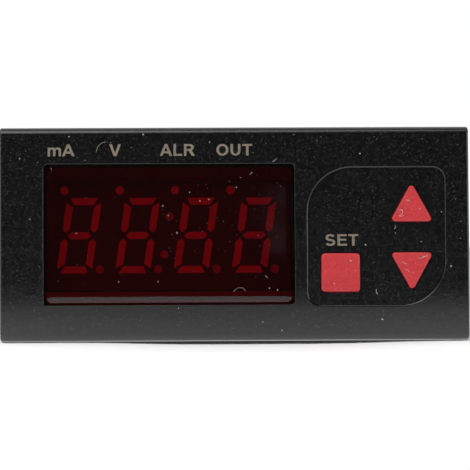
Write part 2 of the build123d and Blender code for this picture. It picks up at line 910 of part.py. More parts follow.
def make_clamp(side):
    """Panel clamp on one side: a foot and arm outside, a toothed tongue in the channel."""
    arm_inner = housing_width / 2 + clamp_play
    head_outer = housing_width / 2 - channel_lip - clamp_play
    head_inner = channel_floor + 2 * tooth_height + pawl_play
    tongue_front = clamp_rest + tongue_start
    with BuildPart() as clamp:
        with BuildSketch(facing(clamp_rest)):
            with Locations((side * (arm_inner + clamp_thickness / 2), channel_z)):
                Rectangle(clamp_thickness, clamp_height)
        extrude(amount=-clamp_length)
        arm_edges = edges().filter_by(Axis.Z)
        rounded = arm_edges.sort_by(lambda e: side * e.center().X)[-2:]
        fillet(rounded, clamp_edge_radius)
        with BuildSketch(facing(tongue_front)):
            with Locations((side * (head_inner + arm_inner) / 2, channel_z)):
                Rectangle(arm_inner - head_inner, channel_mouth - 2 * clamp_play)
            with Locations((side * (head_inner + head_outer) / 2, channel_z)):
                Rectangle(head_outer - head_inner, channel_width - 2 * clamp_play)
        extrude(amount=-tongue_length)
        # Pawl teeth under the head of the tongue
        with BuildSketch(level(channel_z - tooth_width / 2)):
            for i in range(pawl_teeth):
                with Locations((side * head_inner, tongue_front + (i + 2) * tooth_pitch)):
                    Polygon((0, 0), (-side * tooth_height, 0), (0, -tooth_pitch), align=None)
        extrude(amount=tooth_width)
        # Grip ridges at the rear of the arm
        ridge_x = side * (arm_inner + clamp_thickness)
        ridge_y = clamp_rest + clamp_length - grip_count * grip_pitch / 2 - grip_pitch / 2
        with BuildSketch(level(channel_z - clamp_height / 2)):
            with Locations((ridge_x, ridge_y)):
                with GridLocations(0, grip_pitch, 1, grip_count):
                    Circle(grip_radius)
        extrude(amount=clamp_height, mode=Mode.SUBTRACT)
    return clamp


clamp_left = make_clamp(-1)
clamp_right = make_clamp(1)

# Terminal block: chambers open below, screw wells above, wire entries behind
chamber_top = main_board_top + chamber_height
chamber_front = block_front + chamber_back
chamber_rear = chamber_front + chamber_depth
cage_bottom = chamber_top - cage_play - cage_height

with BuildPart() as terminal_block:
    with BuildSketch(level(main_board_top)):
        with Locations((0, (block_front + block_rear) / 2)):
            Rectangle(pole_count * pole_pitch + 2 * block_margin, block_depth)
    extrude(amount=block_height)
    with BuildSketch(level(main_board_top)):
        with Locations(*[(x, (chamber_front + chamber_rear) / 2) for x in pole_places]):
            Rectangle(chamber_width, chamber_depth)
    extrude(amount=chamber_height, mode=Mode.SUBTRACT)
    with BuildSketch(level(chamber_top)):
        with Locations(*[(x, screw_y) for x in pole_places]):
            Circle(well_radius)
    extrude(amount=block_height, mode=Mode.SUBTRACT)
    with BuildSketch(facing(block_rear)):
        with Locations(*[(x, entry_z) for x in pole_places]):
            Rectangle(entry_width, entry_height)
    extrude(amount=block_rear - chamber_rear, mode=Mode.SUBTRACT)

# Wire cages, their screws and the pins that go into the main board
cage_width = chamber_width - 2 * cage_play
cage_depth = chamber_depth - 2 * cage_play
cage_top = cage_bottom + cage_height

with BuildPart() as terminal_cages:
    with BuildSketch(facing(chamber_front + cage_play)):
        with Locations(*[(x, cage_bottom + cage_height / 2) for x in pole_places]):
            Rectangle(cage_width, cage_height)
            Rectangle(cage_width - 2 * cage_wall, cage_height - 4 * cage_wall, mode=Mode.SUBTRACT)
    extrude(amount=-cage_depth)
    with BuildSketch(level(cage_top)):
        with Locations(*[(x, screw_y) for x in pole_places]):
            Circle(screw_shank_radius + screw_play)
    extrude(amount=-2 * cage_wall, mode=Mode.SUBTRACT)

screw_top = block_top - screw_sink

with BuildPart() as terminal_screws:
    with BuildSketch(level(screw_top)):
        with Locations(*[(x, screw_y) for x in pole_places]):
            Circle(screw_head_radius)
    extrude(amount=-screw_head_height)
    with BuildSketch(level(screw_top - screw_head_height)):
        with Locations(*[(x, screw_y) for x in pole_places]):
            Circle(screw_shank_radius)
    extrude(amount=screw_head_height - screw_length)
    with BuildSketch(level(screw_top)):
        with Locations(*[(x, screw_y) for x in pole_places]):
            Rectangle(2 * screw_head_radius, screw_slot)
    extrude(amount=-screw_slot_depth, mode=Mode.SUBTRACT)

with BuildPart() as terminal_pins:
    with BuildSketch(level(cage_bottom)):
        with Locations(*[(x, screw_y) for x in pole_places]):
            Rectangle(terminal_pin_width, terminal_pin_width)
    extrude(amount=main_board_bottom - pin_tail - cage_bottom)

# Transformer: laminated core, bobbin, winding and pins
core_bottom = main_board_top + core_lift
core_height = inner_height / 2 - transformer_headroom - core_bottom
yoke = core_limb / 2
core_window = (core_width - 2 * core_limb) / 2
window_height_inside = core_height - core_limb
spool_bottom = core_bottom + yoke + coil_play
spool_height = window_height_inside - 2 * coil_play
tube_width = core_limb + 2 * coil_play + 2 * bobbin_wall
tube_depth = core_stack + 2 * coil_play + 2 * bobbin_wall
flange_width = core_width - core_limb - 2 * coil_play
flange_depth = core_stack + 2 * bobbin_overhang
transformer_y = part_rear - flange_depth / 2
regulator_y = transformer_y + core_stack / 2 + regulator_gap + regulator_width / 2

with BuildPart() as transformer_core:
    with BuildSketch(facing(transformer_y - core_stack / 2)):
        with Locations((transformer_x, core_bottom + core_height / 2)):
            Rectangle(core_width, core_height)
            with GridLocations(core_limb + core_window, 0, 2, 1):
                Rectangle(core_window, window_height_inside, mode=Mode.SUBTRACT)
    extrude(amount=-core_stack)

with BuildPart() as transformer_bobbin:
    with BuildSketch(level(spool_bottom)):
        with Locations((transformer_x, transformer_y)):
            Rectangle(tube_width, tube_depth)
    extrude(amount=spool_height)
    with BuildSketch(level(spool_bottom), level(spool_bottom + spool_height - bobbin_flange)):
        with Locations((transformer_x, transformer_y)):
            Rectangle(flange_width, flange_depth)
    extrude(amount=bobbin_flange)
    # Feet in front of and behind the core
    with BuildSketch(level(main_board_top)):
        with Locations((transformer_x, transformer_y)):
            with GridLocations(0, flange_depth - bobbin_foot, 1, 2):
                Rectangle(flange_width, bobbin_foot)
    extrude(amount=spool_bottom - main_board_top)
    with BuildSketch(level(spool_bottom)):
        with Locations((transformer_x, transformer_y)):
            Rectangle(core_limb + 2 * coil_play, core_stack + 2 * coil_play)
    extrude(amount=spool_height, mode=Mode.SUBTRACT)

with BuildPart() as transformer_winding:
    with BuildSketch(level(spool_bottom + bobbin_flange + coil_play)):
        with Locations((transformer_x, transformer_y)):
            RectangleRounded(tube_width + 2 * coil_build, tube_depth + 2 * coil_build, coil_build)
            Rectangle(tube_width + 2 * coil_play, tube_depth + 2 * coil_play, mode=Mode.SUBTRACT)
    extrude(amount=spool_height - 2 * bobbin_flange - 2 * coil_play)


def transformer_pin_grid(radius):
    """Pins or holes under the two feet of the transformer."""
    with Locations((transformer_x, transformer_y)):
        with GridLocations(
            transformer_pin_pitch, flange_depth - bobbin_foot, transformer_pin_count, 2
        ):
            Circle(radius)


with BuildPart() as transformer_pins:
    with BuildSketch(level(main_board_top)):
        transformer_pin_grid(transformer_pin_radius)
    extrude(amount=-board_thickness - pin_tail)

# Output relay, a sealed block with its pins
with BuildPart() as relay:
    with BuildSketch(level(main_board_top)):
        with Locations((relay_x, relay_y)):
            Rectangle(relay_length, relay_width)
    extrude(amount=relay_height)
    fillet(edges().filter_by(Axis.Z), relay_edge_radius)
    fillet(faces().sort_by(Axis.Z)[-1].edges(), relay_edge_radius)


def relay_pin_grid(size):
    """Four corner pins and one middle pin or hole of the relay."""
    reach_x = relay_length - 2 * relay_pin_inset
    with Locations((relay_x, relay_y)):
        with GridLocations(reach_x, relay_width - 2 * relay_pin_inset, 2, 2):
            Rectangle(size, size)
        with Locations((reach_x / 2, 0)):
            Rectangle(size, size)


with BuildPart() as relay_pins:
    with BuildSketch(level(main_board_top)):
        relay_pin_grid(relay_pin_size)
    extrude(amount=-board_thickness - pin_tail)

# Electrolytic capacitors: crimped cans on two leads each
first_can_x = varistor_x - varistor_radius - can_gap - can_radius
can_places = [(first_can_x - i * can_spacing, can_y) for i in range(can_count)]


def lead_pair(places, radius):
    """Two leads or holes at each place, side by side along X."""
    for place in places:
        with Locations(place):
            with GridLocations(lead_spacing, 0, 2, 1):
                Circle(radius)


with BuildPart() as capacitors:
    with BuildSketch(level(main_board_top)):
        with Locations(*can_places):
            Circle(can_radius)
    extrude(amount=can_height)
    with BuildSketch(level(main_board_top + can_groove_rise)):
        with Locations(*can_places):
            Circle(can_radius)
            Circle(can_radius - can_groove, mode=Mode.SUBTRACT)
    extrude(amount=2 * can_groove, mode=Mode.SUBTRACT)
    chamfer(edges().filter_by(GeomType.CIRCLE).group_by(Axis.Z)[-1], can_groove)
    with BuildSketch(level(main_board_top)):
        lead_pair(can_places, lead_radius)
    extrude(amount=-board_thickness - pin_tail)

# Varistor disc and regulator, each with its leads
varistor_place = (varistor_x, varistor_y)
with BuildPart() as varistor:
    with BuildSketch(facing(varistor_y - varistor_thickness / 2)):
        with Locations((varistor_x, main_board_top + varistor_radius)):
            Circle(varistor_radius)
    extrude(amount=-varistor_thickness)
    chamfer(edges().filter_by(GeomType.CIRCLE), varistor_thickness / 4)
    with BuildSketch(level(main_board_top + varistor_radius)):
        lead_pair([varistor_place], lead_radius)
    extrude(amount=-varistor_radius - board_thickness - pin_tail)


def regulator_leads(radius):
    """Leads or holes of the regulator in a row."""
    with Locations((regulator_x, regulator_y)):
        with GridLocations(regulator_lead_pitch, 0, regulator_lead_count, 1):
            Circle(radius)


with BuildPart() as regulator:
    with BuildSketch(level(main_board_top + regulator_lift)):
        with Locations((regulator_x, regulator_y)):
            Circle(regulator_width / 2)
            flat_depth = regulator_width - regulator_depth
            with Locations((0, (regulator_width - flat_depth) / 2)):
                Rectangle(regulator_width, flat_depth, mode=Mode.SUBTRACT)
    extrude(amount=regulator_height)
    with BuildSketch(level(main_board_top + regulator_lift)):
        regulator_leads(lead_radius)
    extrude(amount=-regulator_lift - board_thickness - pin_tail)

# Main board, drilled for everything that stands on it
with BuildPart() as main_board:
    with BuildSketch(level(main_board_top)):
        with Locations((0, (main_board_front + main_board_rear) / 2)):
            Rectangle(inner_width - 2 * board_side_gap, main_board_rear - main_board_front)
    extrude(amount=-board_thickness)
    with BuildSketch(level(main_board_top)):
        with Locations((link_x, link_y)):
            link_grid(link_pin + 2 * hole_play)
        with Locations(*[(x, screw_y) for x in pole_places]):
            Circle(terminal_pin_width)
        transformer_pin_grid(transformer_pin_radius + hole_play)
        relay_pin_grid(relay_pin_size + 2 * hole_play)
        lead_pair(can_places + [varistor_place], lead_radius + hole_play)
        regulator_leads(lead_radius + hole_play)
    extrude(amount=-board_thickness, mode=Mode.SUBTRACT)

pieces = {
    "front_bezel": front_bezel,
    "display_window": display_window,
    "set_button": set_button,
    "up_button": up_button,
    "down_button": down_button,
    "panel_gasket": panel_gasket,
    "housing": housing,
    "rear_cover": rear_cover,
    "clamp_left": clamp_left,
    "clamp_right": clamp_right,
    "display_reflector": display_reflector,
    "segment_resin": segment_resin,
    "led_board": led_board,
    "display_pins": display_pins,
    "display_board": display_board,
    "switch_bases": switch_bases,
    "switch_covers": switch_covers,
    "switch_legs": switch_legs,
    "set_plunger": set_plunger,
    "up_plunger": up_plunger,
    "down_plunger": down_plunger,
    "set_dome": set_dome,
    "up_dome": up_dome,
    "down_dome": down_dome,
    "controller_chip": controller_chip,
    "controller_legs": controller_legs,
    "link_strip": link_strip,
    "link_pins": link_pins,
    "main_board": main_board,
    "terminal_block": terminal_block,
    "terminal_cages": terminal_cages,
    "terminal_screws": terminal_screws,
    "terminal_pins": terminal_pins,
    "transformer_core": transformer_core,
    "transformer_bobbin": transformer_bobbin,
    "transformer_winding": transformer_winding,
    "transformer_pins": transformer_pins,
    "relay": relay,
    "relay_pins": relay_pins,
    "capacitors": capacitors,
    "varistor": varistor,
    "regulator": regulator,
}

os.makedirs("parts", exist_ok=True)
for name, piece in pieces.items():
    piece.part.label = name
    export_step(piece.part, f"parts/{name}.step")
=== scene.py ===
"""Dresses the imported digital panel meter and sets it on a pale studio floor."""
import logging
from abc import ABC, abstractmethod
from collections.abc import Mapping
from dataclasses import dataclass
from enum import Enum
from math import cos, radians, sin

import bmesh
import bpy
import numpy as np
from mathutils import Matrix, Vector


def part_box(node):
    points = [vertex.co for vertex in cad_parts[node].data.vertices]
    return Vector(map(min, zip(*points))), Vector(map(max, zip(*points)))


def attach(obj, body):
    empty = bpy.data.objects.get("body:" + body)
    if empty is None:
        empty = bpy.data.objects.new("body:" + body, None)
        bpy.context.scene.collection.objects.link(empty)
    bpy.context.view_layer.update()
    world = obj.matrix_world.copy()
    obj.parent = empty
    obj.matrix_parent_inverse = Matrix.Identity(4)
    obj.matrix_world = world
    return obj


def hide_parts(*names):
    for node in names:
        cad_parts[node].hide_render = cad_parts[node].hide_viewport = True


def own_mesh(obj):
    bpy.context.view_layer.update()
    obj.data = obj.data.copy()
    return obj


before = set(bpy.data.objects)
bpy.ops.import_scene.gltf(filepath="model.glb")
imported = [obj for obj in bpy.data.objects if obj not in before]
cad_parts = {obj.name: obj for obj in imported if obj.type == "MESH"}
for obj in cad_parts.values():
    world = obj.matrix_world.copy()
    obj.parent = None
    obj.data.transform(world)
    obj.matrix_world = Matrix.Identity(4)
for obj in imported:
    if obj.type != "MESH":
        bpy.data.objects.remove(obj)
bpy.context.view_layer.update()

log = logging.getLogger("panel_meter")

Range = tuple[float, float]
Spot = tuple[float, float]
Triple = tuple[float, float, float]
Colour = tuple[float, float, float, float]
Socket = bpy.types.NodeSocket
Feed = Socket | float | tuple[float, ...]

MM = 0.001
SEAM = 1e-8
WHITE: Colour = (1.0, 1.0, 1.0, 1.0)
# Most values of a cloudy pattern lie in this range.
USUAL: Range = (0.3, 0.7)


class Body(Enum):
    """The bodies that a piece may ride on."""

    CASE = "case"
    SET_KEY = "set_key"
    UP_KEY = "up_key"
    DOWN_KEY = "down_key"


class Slot(Enum):
    """The record's material slots, one named by each dust piece."""

    BEZEL = "bezel_plastic"
    KEY = "key_red"
    STEEL = "steel"


class Level(Enum):
    """The front surfaces that dust and print lie on, by their depth in millimetres."""

    FACE = -6.8
    KEYPAD = -6.3
    LENS = -6.35
    KEY = -7.1


class Axis(Enum):
    """The directions of the shared frame, as nodes name them."""

    SIDE = "X"
    DEPTH = "Y"
    HEIGHT = "Z"


class Join(Enum):
    """The ways in which two values become one, as nodes name them."""

    PLUS = "ADD"
    TIMES = "MULTIPLY"
    POWER = "POWER"
    LEAST = "MINIMUM"
    MOST = "MAXIMUM"


def srgb(red: float, green: float, blue: float) -> Colour:
    """Turns a display colour into a scene-linear one.

    Args:
        red: Red from 0 to 255.
        green: Green from 0 to 255.
        blue: Blue from 0 to 255.

    Returns:
        The linear colour with an alpha of 1.
    """
    share = np.array((red, green, blue)) / 255
    linear = np.where(share <= 0.04045, share / 12.92, ((share + 0.055) / 1.055) ** 2.4)
    return (*linear.tolist(), 1.0)


class Bench:
    """Lays out the node tree of a material or of the world."""

    def __init__(self, holder: bpy.types.Material | bpy.types.World) -> None:
        """Starts with an empty tree.

        Args:
            holder: What the tree belongs to.
        """
        holder.use_nodes = True
        self.tree = holder.node_tree
        self.tree.nodes.clear()

    def put(
        self, kind: str, feeds: Mapping[str | int, Feed] | None = None, **settings: str
    ) -> bpy.types.NodeOutputs:
        """Adds a node, sets its options, and links or sets its inputs.

        Args:
            kind: The node's type, without the first part that all shader nodes share.
            feeds: What goes into each input: a socket to link or a constant.
            **settings: The node's own options.

        Returns:
            The new node's outputs.
        """
        node = self.tree.nodes.new("ShaderNode" + kind)
        for option, value in settings.items():
            setattr(node, option, value)
        for key, value in (feeds or {}).items():
            if isinstance(value, Socket):
                self.tree.links.new(value, node.inputs[key])
            else:
                node.inputs[key].default_value = value
        return node.outputs

    def place(self, stretch: Triple = (1.0, 1.0, 1.0)) -> Socket:
        """Gives the object's own coordinates, stretched by a factor along each axis."""
        feeds = {"Vector": self.put("TexCoord")["Object"], "Scale": stretch}
        return self.put("Mapping", feeds)[0]

    def axis(self, axis: Axis) -> Socket:
        """Gives one of the object's own coordinates in metres."""
        return self.put("SeparateXYZ", {0: self.place()})[axis.value]

    def noise(self, scale: float, detail: float = 2.0, stretch: Triple = (1.0, 1.0, 1.0)) -> Socket:
        """Gives a cloudy pattern.

        Args:
            scale: Lumps in a metre.
            detail: Finer layers on top of the first.
            stretch: Factor along each axis.

        Returns:
            The pattern's value, near 0.5 on the whole.
        """
        feeds = {"Vector": self.place(stretch), "Scale": scale, "Detail": detail}
        return self.put("TexNoise", feeds)[0]

    def bands(self, scale: float, axis: Axis, wobble: float) -> Socket:
        """Gives bands that follow one another along an axis.

        Args:
            scale: Density of the bands in a metre.
            axis: The axis that they follow one another along.
            wobble: How much noise bends them.

        Returns:
            The bands' value from 0 to 1.
        """
        feeds = {"Vector": self.place(), "Scale": scale, "Distortion": wobble}
        return self.put("TexWave", feeds, bands_direction=axis.value)[1]

    def span(self, value: Feed, source: Range, target: Range = (0.0, 1.0)) -> Socket:
        """Eases a value from one range into another, held at the ends.

        Args:
            value: What to map.
            source: Start and end of its range.
            target: What the start and the end become.

        Returns:
            The mapped value.
        """
        feeds = dict(enumerate((value, *source, *target)))
        return self.put("MapRange", feeds, interpolation_type="SMOOTHSTEP")[0]

    def blend(self, share: Feed, first: Feed, second: Feed) -> Socket:
        """Mixes two colours, all of the second where the share is 1."""
        return self.put("Mix", {0: share, 6: first, 7: second}, data_type="RGBA")[2]

    def join(self, way: Join, first: Feed, second: Feed) -> Socket:
        """Makes one value of two."""
        return self.put("Math", {0: first, 1: second}, operation=way.value)[0]

    def bump(self, height: Feed, depth: float, under: Socket | None = None) -> Socket:
        """Turns a height into a normal.

        Args:
            height: The height, from 0 to 1.
            depth: How far a height of 1 stands up, in metres.
            under: The normal that it starts from, if that isn't the surface's own.

        Returns:
            The normal.
        """
        feeds = {"Height": height, "Distance": depth}
        if under is not None:
            feeds["Normal"] = under
        return self.put("Bump", feeds)[0]

    def solid(
        self, colour: Feed, rough: Feed, normal: Socket | None = None,
        more: Mapping[str, Feed] | None = None,
    ) -> Socket:
        """Gives a principled surface.

        Args:
            colour: Its colour.
            rough: Its roughness.
            normal: Its normal, if that isn't the mesh's own.
            more: Other inputs by name.

        Returns:
            The surface.
        """
        feeds = {"Base Color": colour, "Roughness": rough} | (more or {})
        if normal is not None:
            feeds["Normal"] = normal
        return self.put("BsdfPrincipled", feeds)[0]


@dataclass(frozen=True)
class Finish(ABC):
    """A finish of one or more pieces. Depths are in metres, and scales are lumps in a metre."""

    name: str

    @abstractmethod
    def surface(self, bench: Bench) -> Socket:
        """Lays out the finish.

        Args:
            bench: The material's empty tree.

        Returns:
            The surface.
        """

    def material(self) -> bpy.types.Material:
        """Makes the material.

        Returns:
            The material, named for the finish.
        """
        material = bpy.data.materials.new(self.name)
        bench = Bench(material)
        bench.put("OutputMaterial", {"Surface": self.surface(bench)})
        return material


@dataclass(frozen=True)
class SparkPlastic(Finish):
    """Black moulding with the fine grain of a spark-eroded mould, and an eased edge where it has one."""

    tint: Colour
    haze: Colour
    peak: Colour
    roughness: Range
    grain: float
    depth: float
    edge: Range = (1.0, 2.0)
    edge_fall: float = 0.0
    haze_scale: float = 180.0
    haze_range: Range = (0.35, 0.8)
    peak_range: Range = (0.48, 0.8)
    gloss_scale: float = 900.0
    shine: float = 0.6

    def surface(self, bench: Bench) -> Socket:
        """Lays a faint haze over black, and a fine grain whose peaks are paler.

        The eased edge is its upper one, where the surface falls away smoothly between two heights.

        Args:
            bench: The material's empty tree.

        Returns:
            The surface.
        """
        grain = bench.noise(self.grain)
        cloud = bench.noise(self.haze_scale, detail=4.0)
        ground = bench.blend(bench.span(cloud, self.haze_range), self.tint, self.haze)
        colour = bench.blend(bench.span(grain, self.peak_range), ground, self.peak)
        rough = bench.span(bench.noise(self.gloss_scale), USUAL, self.roughness)
        below_edge = bench.span(bench.axis(Axis.HEIGHT), self.edge, (1.0, 0.0))
        normal = bench.bump(grain, self.depth, bench.bump(below_edge, self.edge_fall))
        return bench.solid(colour, rough, normal, {"Specular IOR Level": self.shine})


@dataclass(frozen=True)
class SatinPlastic(Finish):
    """Smooth moulded plastic or rubber with faint flow clouds."""

    tint: Colour
    cloud: Colour
    roughness: Range
    ripple: float = 0.000004
    cloud_scale: float = 260.0
    gloss_scale: float = 700.0
    ripple_scale: float = 2500.0

    def surface(self, bench: Bench) -> Socket:
        """Blends two close tints by a cloud and ripples the surface.

        Args:
            bench: The material's empty tree.

        Returns:
            The surface.
        """
        colour = bench.blend(bench.noise(self.cloud_scale, detail=5.0), self.tint, self.cloud)
        rough = bench.span(bench.noise(self.gloss_scale), USUAL, self.roughness)
        normal = bench.bump(bench.noise(self.ripple_scale, detail=3.0), self.ripple)
        return bench.solid(colour, rough, normal)


@dataclass(frozen=True)
class KeyRubber(Finish):
    """Red key caps, with a painted highlight along their rounded edge."""

    tint: Colour
    deep: Colour
    # pale: the red of the grain flecks and of the painted highlight on the edge
    pale: Colour
    roughness: Range
    edge: Range
    # How far the edge's painted highlight goes towards the pale red.
    edge_highlight_share: float = 0.6
    cloud_scale: float = 420.0
    cloud_range: Range = (0.3, 0.75)
    grain_scale: float = 4300.0
    grain_range: Range = (0.5, 0.72)
    grain_share: float = 0.55
    grain_depth: float = 0.000006
    glow_share: float = 0.3
    glow_reach: float = 0.0012
    glow_spread: Triple = (1.0, 0.2, 0.2)

    def surface(self, bench: Bench) -> Socket:
        """Blends the red by a cloud and a fine grain, then paints a highlight along the rounded edge.

        The edge is found by its depth.

        Args:
            bench: The material's empty tree.

        Returns:
            The surface.
        """
        cloud = bench.span(bench.noise(self.cloud_scale, detail=4.0), self.cloud_range)
        grain = bench.noise(self.grain_scale)
        red = bench.blend(cloud, self.tint, self.deep)
        red = bench.blend(bench.span(grain, self.grain_range, (0.0, self.grain_share)), red, self.pale)
        # Painted highlight: the rounded edge is lightened towards the pale red.
        rim = bench.span(bench.axis(Axis.DEPTH), self.edge, (0.0, self.edge_highlight_share))
        colour = bench.blend(rim, red, self.pale)
        rough = bench.span(grain, USUAL, self.roughness)
        glow = {
            "Subsurface Weight": self.glow_share,
            "Subsurface Radius": self.glow_spread,
            "Subsurface Scale": self.glow_reach,
        }
        return bench.solid(colour, rough, bench.bump(grain, self.grain_depth), glow)


@dataclass(frozen=True)
class FilterLens(Finish):
    """Dark red see-through filter that lets the lamps in."""

    tint: Colour
    # Darker tint of the painted shade round the rim.
    rim_shade_tint: Colour
    light_tint: Colour
    roughness: Range
    rim: Range
    rim_fade: float = 0.00005
    smear_scale: float = 140.0
    smear_range: Range = (0.4, 0.8)
    wave_scale: float = 60.0
    wave_depth: float = 0.000002
    bending: float = 1.49

    def surface(self, bench: Bench) -> Socket:
        """Makes tinted glass with painted shade round its rim, that is plainly tinted for light on its way
        in.

        The rim is found by its depth: it starts where the bevel ends, and ends short of the back.

        Args:
            bench: The material's empty tree.

        Returns:
            The surface.
        """
        depth = bench.axis(Axis.DEPTH)
        start, end = self.rim
        behind_bevel = bench.span(depth, (start, start + self.rim_fade))
        before_back = bench.span(depth, (end - self.rim_fade, end), (1.0, 0.0))
        # Painted shade: the rim between bevel and back is darkened so the gap round the lens reads dark.
        colour = bench.blend(bench.join(Join.TIMES, behind_bevel, before_back), self.tint, self.rim_shade_tint)
        smear = bench.span(bench.noise(self.smear_scale, detail=5.0), self.smear_range, self.roughness)
        normal = bench.bump(bench.noise(self.wave_scale, detail=1.0), self.wave_depth)
        glass = bench.solid(colour, smear, normal, {"IOR": self.bending, "Transmission Weight": 1.0})
        clear = bench.put("BsdfTransparent", {"Color": self.light_tint})[0]
        shadow = bench.put("LightPath")["Is Shadow Ray"]
        return bench.put("MixShader", {0: shadow, 1: glass, 2: clear})[0]


@dataclass(frozen=True)
class PaintedBody(Finish):
    """Grey display body whose front is painted darker."""

    body: Colour
    paint: Colour
    paint_depth: float
    roughness: Range = (0.5, 0.62)
    shade: float = 0.9
    shade_scale: float = 300.0
    ragged: float = 0.00004
    ragged_scale: float = 3000.0
    gloss_scale: float = 1500.0
    grain_scale: float = 4000.0
    grain_depth: float = 0.000005

    def surface(self, bench: Bench) -> Socket:
        """Paints the front as far as a depth, with a ragged edge, and leaves the moulding bare behind it.

        Args:
            bench: The material's empty tree.

        Returns:
            The surface.
        """
        shaded = tuple(self.shade * part for part in self.body)
        bare = bench.blend(bench.noise(self.shade_scale, detail=4.0), self.body, shaded)
        stray = bench.span(bench.noise(self.ragged_scale), (0.0, 1.0), (-self.ragged, self.ragged))
        edge = bench.join(Join.PLUS, bench.axis(Axis.DEPTH), stray)
        behind = bench.span(edge, (self.paint_depth - self.ragged, self.paint_depth + self.ragged))
        rough = bench.span(bench.noise(self.gloss_scale), USUAL, self.roughness)
        normal = bench.bump(bench.noise(self.grain_scale), self.grain_depth)
        return bench.solid(bench.blend(behind, self.paint, bare), rough, normal)


@dataclass(frozen=True)
class CastResin(Finish):
    """Milky resin in the display's bars, greyer and darker near the middle of each dot."""

    tint: Colour
    cloud: Colour
    dot_tint: Colour
    dots: tuple[Triple, ...]
    dot_reach: Range
    roughness: Range = (0.32, 0.45)
    cloud_scale: float = 800.0
    gloss_scale: float = 1800.0
    ripple_scale: float = 1200.0
    ripple: float = 0.000006

    def surface(self, bench: Bench) -> Socket:
        """Mixes two milky tints, and dims them near the middle line of each dot.

        Args:
            bench: The material's empty tree.

        Returns:
            The surface.
        """
        milk = bench.blend(bench.noise(self.cloud_scale, detail=3.0), self.tint, self.cloud)
        flat = bench.place((1.0, 0.0, 1.0))
        nearest: Feed = 1.0
        for dot in self.dots:
            away = bench.put("VectorMath", {0: flat, 1: dot}, operation="DISTANCE")["Value"]
            nearest = bench.join(Join.LEAST, nearest, away)
        colour = bench.blend(bench.span(nearest, self.dot_reach), self.dot_tint, milk)
        rough = bench.span(bench.noise(self.gloss_scale), USUAL, self.roughness)
        return bench.solid(colour, rough, bench.bump(bench.noise(self.ripple_scale), self.ripple))


@dataclass(frozen=True)
class BoardLaminate(Finish):
    """Circuit board: a coloured skin over a sheet, with tracks showing through it."""

    skin: Colour
    track: Colour
    sheet: Colour
    pitch: float
    across: Axis
    # Height below which light is painted in the sheet colour; far below by default.
    painted_light_below: float = -1.0
    painted_light_fade: float = 0.0001
    cross_share: float = 0.6
    bend_along: float = 2.0
    bend_across: float = 3.0
    track_range: Range = (0.45, 0.55)
    track_share: float = 0.6
    track_depth: float = 0.00002
    fibre_scale: float = 3000.0
    fibre_range: Range = (0.45, 0.7)
    fibre_share: float = 0.3
    roughness: Range = (0.34, 0.48)

    def surface(self, bench: Bench) -> Socket:
        """Draws stepped tracks from two sets of bands, and paints light below a height in the pale sheet
        colour.

        Args:
            bench: The material's empty tree.

        Returns:
            The surface.
        """
        along = bench.bands(1.0 / self.pitch, Axis.SIDE, self.bend_along)
        across = bench.bands(self.cross_share / self.pitch, self.across, self.bend_across)
        tracks = bench.span(bench.join(Join.TIMES, along, across), self.track_range)
        fibres = bench.span(bench.noise(self.fibre_scale, detail=3.0), self.fibre_range)
        woven = bench.blend(fibres, self.skin, self.sheet)
        skin = bench.blend(bench.join(Join.TIMES, fibres, self.fibre_share), self.skin, woven)
        colour = bench.blend(bench.join(Join.TIMES, tracks, self.track_share), skin, self.track)
        # Painted light: below the height the board takes the pale sheet colour, standing in for the lit
        # strip under the display.
        bare = bench.span(bench.axis(Axis.HEIGHT), (self.painted_light_below, self.painted_light_below - self.painted_light_fade))
        colour = bench.blend(bare, colour, self.sheet)
        rough = bench.span(fibres, (0.0, 1.0), self.roughness)
        return bench.solid(colour, rough, bench.bump(tracks, self.track_depth))


@dataclass(frozen=True)
class PlatedMetal(Finish):
    """Plated metal with a faint drawn grain and dull patches."""

    tint: Colour
    dull: Colour
    roughness: Range
    grain_scale: float = 1500.0
    grain_stretch: Triple = (1.0, 0.12, 1.0)
    grain_depth: float = 0.000004
    patch_scale: float = 420.0
    patch_range: Range = (0.45, 0.75)

    def surface(self, bench: Bench) -> Socket:
        """Stretches noise into a drawn grain and lays dull patches over it.

        Args:
            bench: The material's empty tree.

        Returns:
            The surface.
        """
        grain = bench.noise(self.grain_scale, detail=4.0, stretch=self.grain_stretch)
        patch = bench.span(bench.noise(self.patch_scale, detail=4.0), self.patch_range)
        colour = bench.blend(patch, self.tint, self.dull)
        rough = bench.span(grain, USUAL, self.roughness)
        return bench.solid(colour, rough, bench.bump(grain, self.grain_depth), {"Metallic": 1.0})


@dataclass(frozen=True)
class StackedIron(Finish):
    """Varnished iron sheets stacked into a core."""

    sheet: Colour
    varnish: Colour
    pitch: float
    roughness: Range = (0.42, 0.6)
    wobble: float = 0.4
    joint_range: Range = (0.5, 0.1)
    joint_depth: float = 0.00008
    stain_scale: float = 350.0
    stain_range: Range = (0.4, 0.75)
    metal: float = 0.6

    def surface(self, bench: Bench) -> Socket:
        """Draws one band to a sheet and brown varnish in the joints.

        Args:
            bench: The material's empty tree.

        Returns:
            The surface.
        """
        joints = bench.bands(0.5 / self.pitch, Axis.DEPTH, self.wobble)
        stain = bench.span(bench.noise(self.stain_scale, detail=5.0), self.stain_range)
        brown = bench.join(Join.MOST, stain, bench.span(joints, self.joint_range))
        colour = bench.blend(brown, self.sheet, self.varnish)
        rough = bench.span(stain, (0.0, 1.0), self.roughness)
        return bench.solid(colour, rough, bench.bump(joints, self.joint_depth), {"Metallic": self.metal})


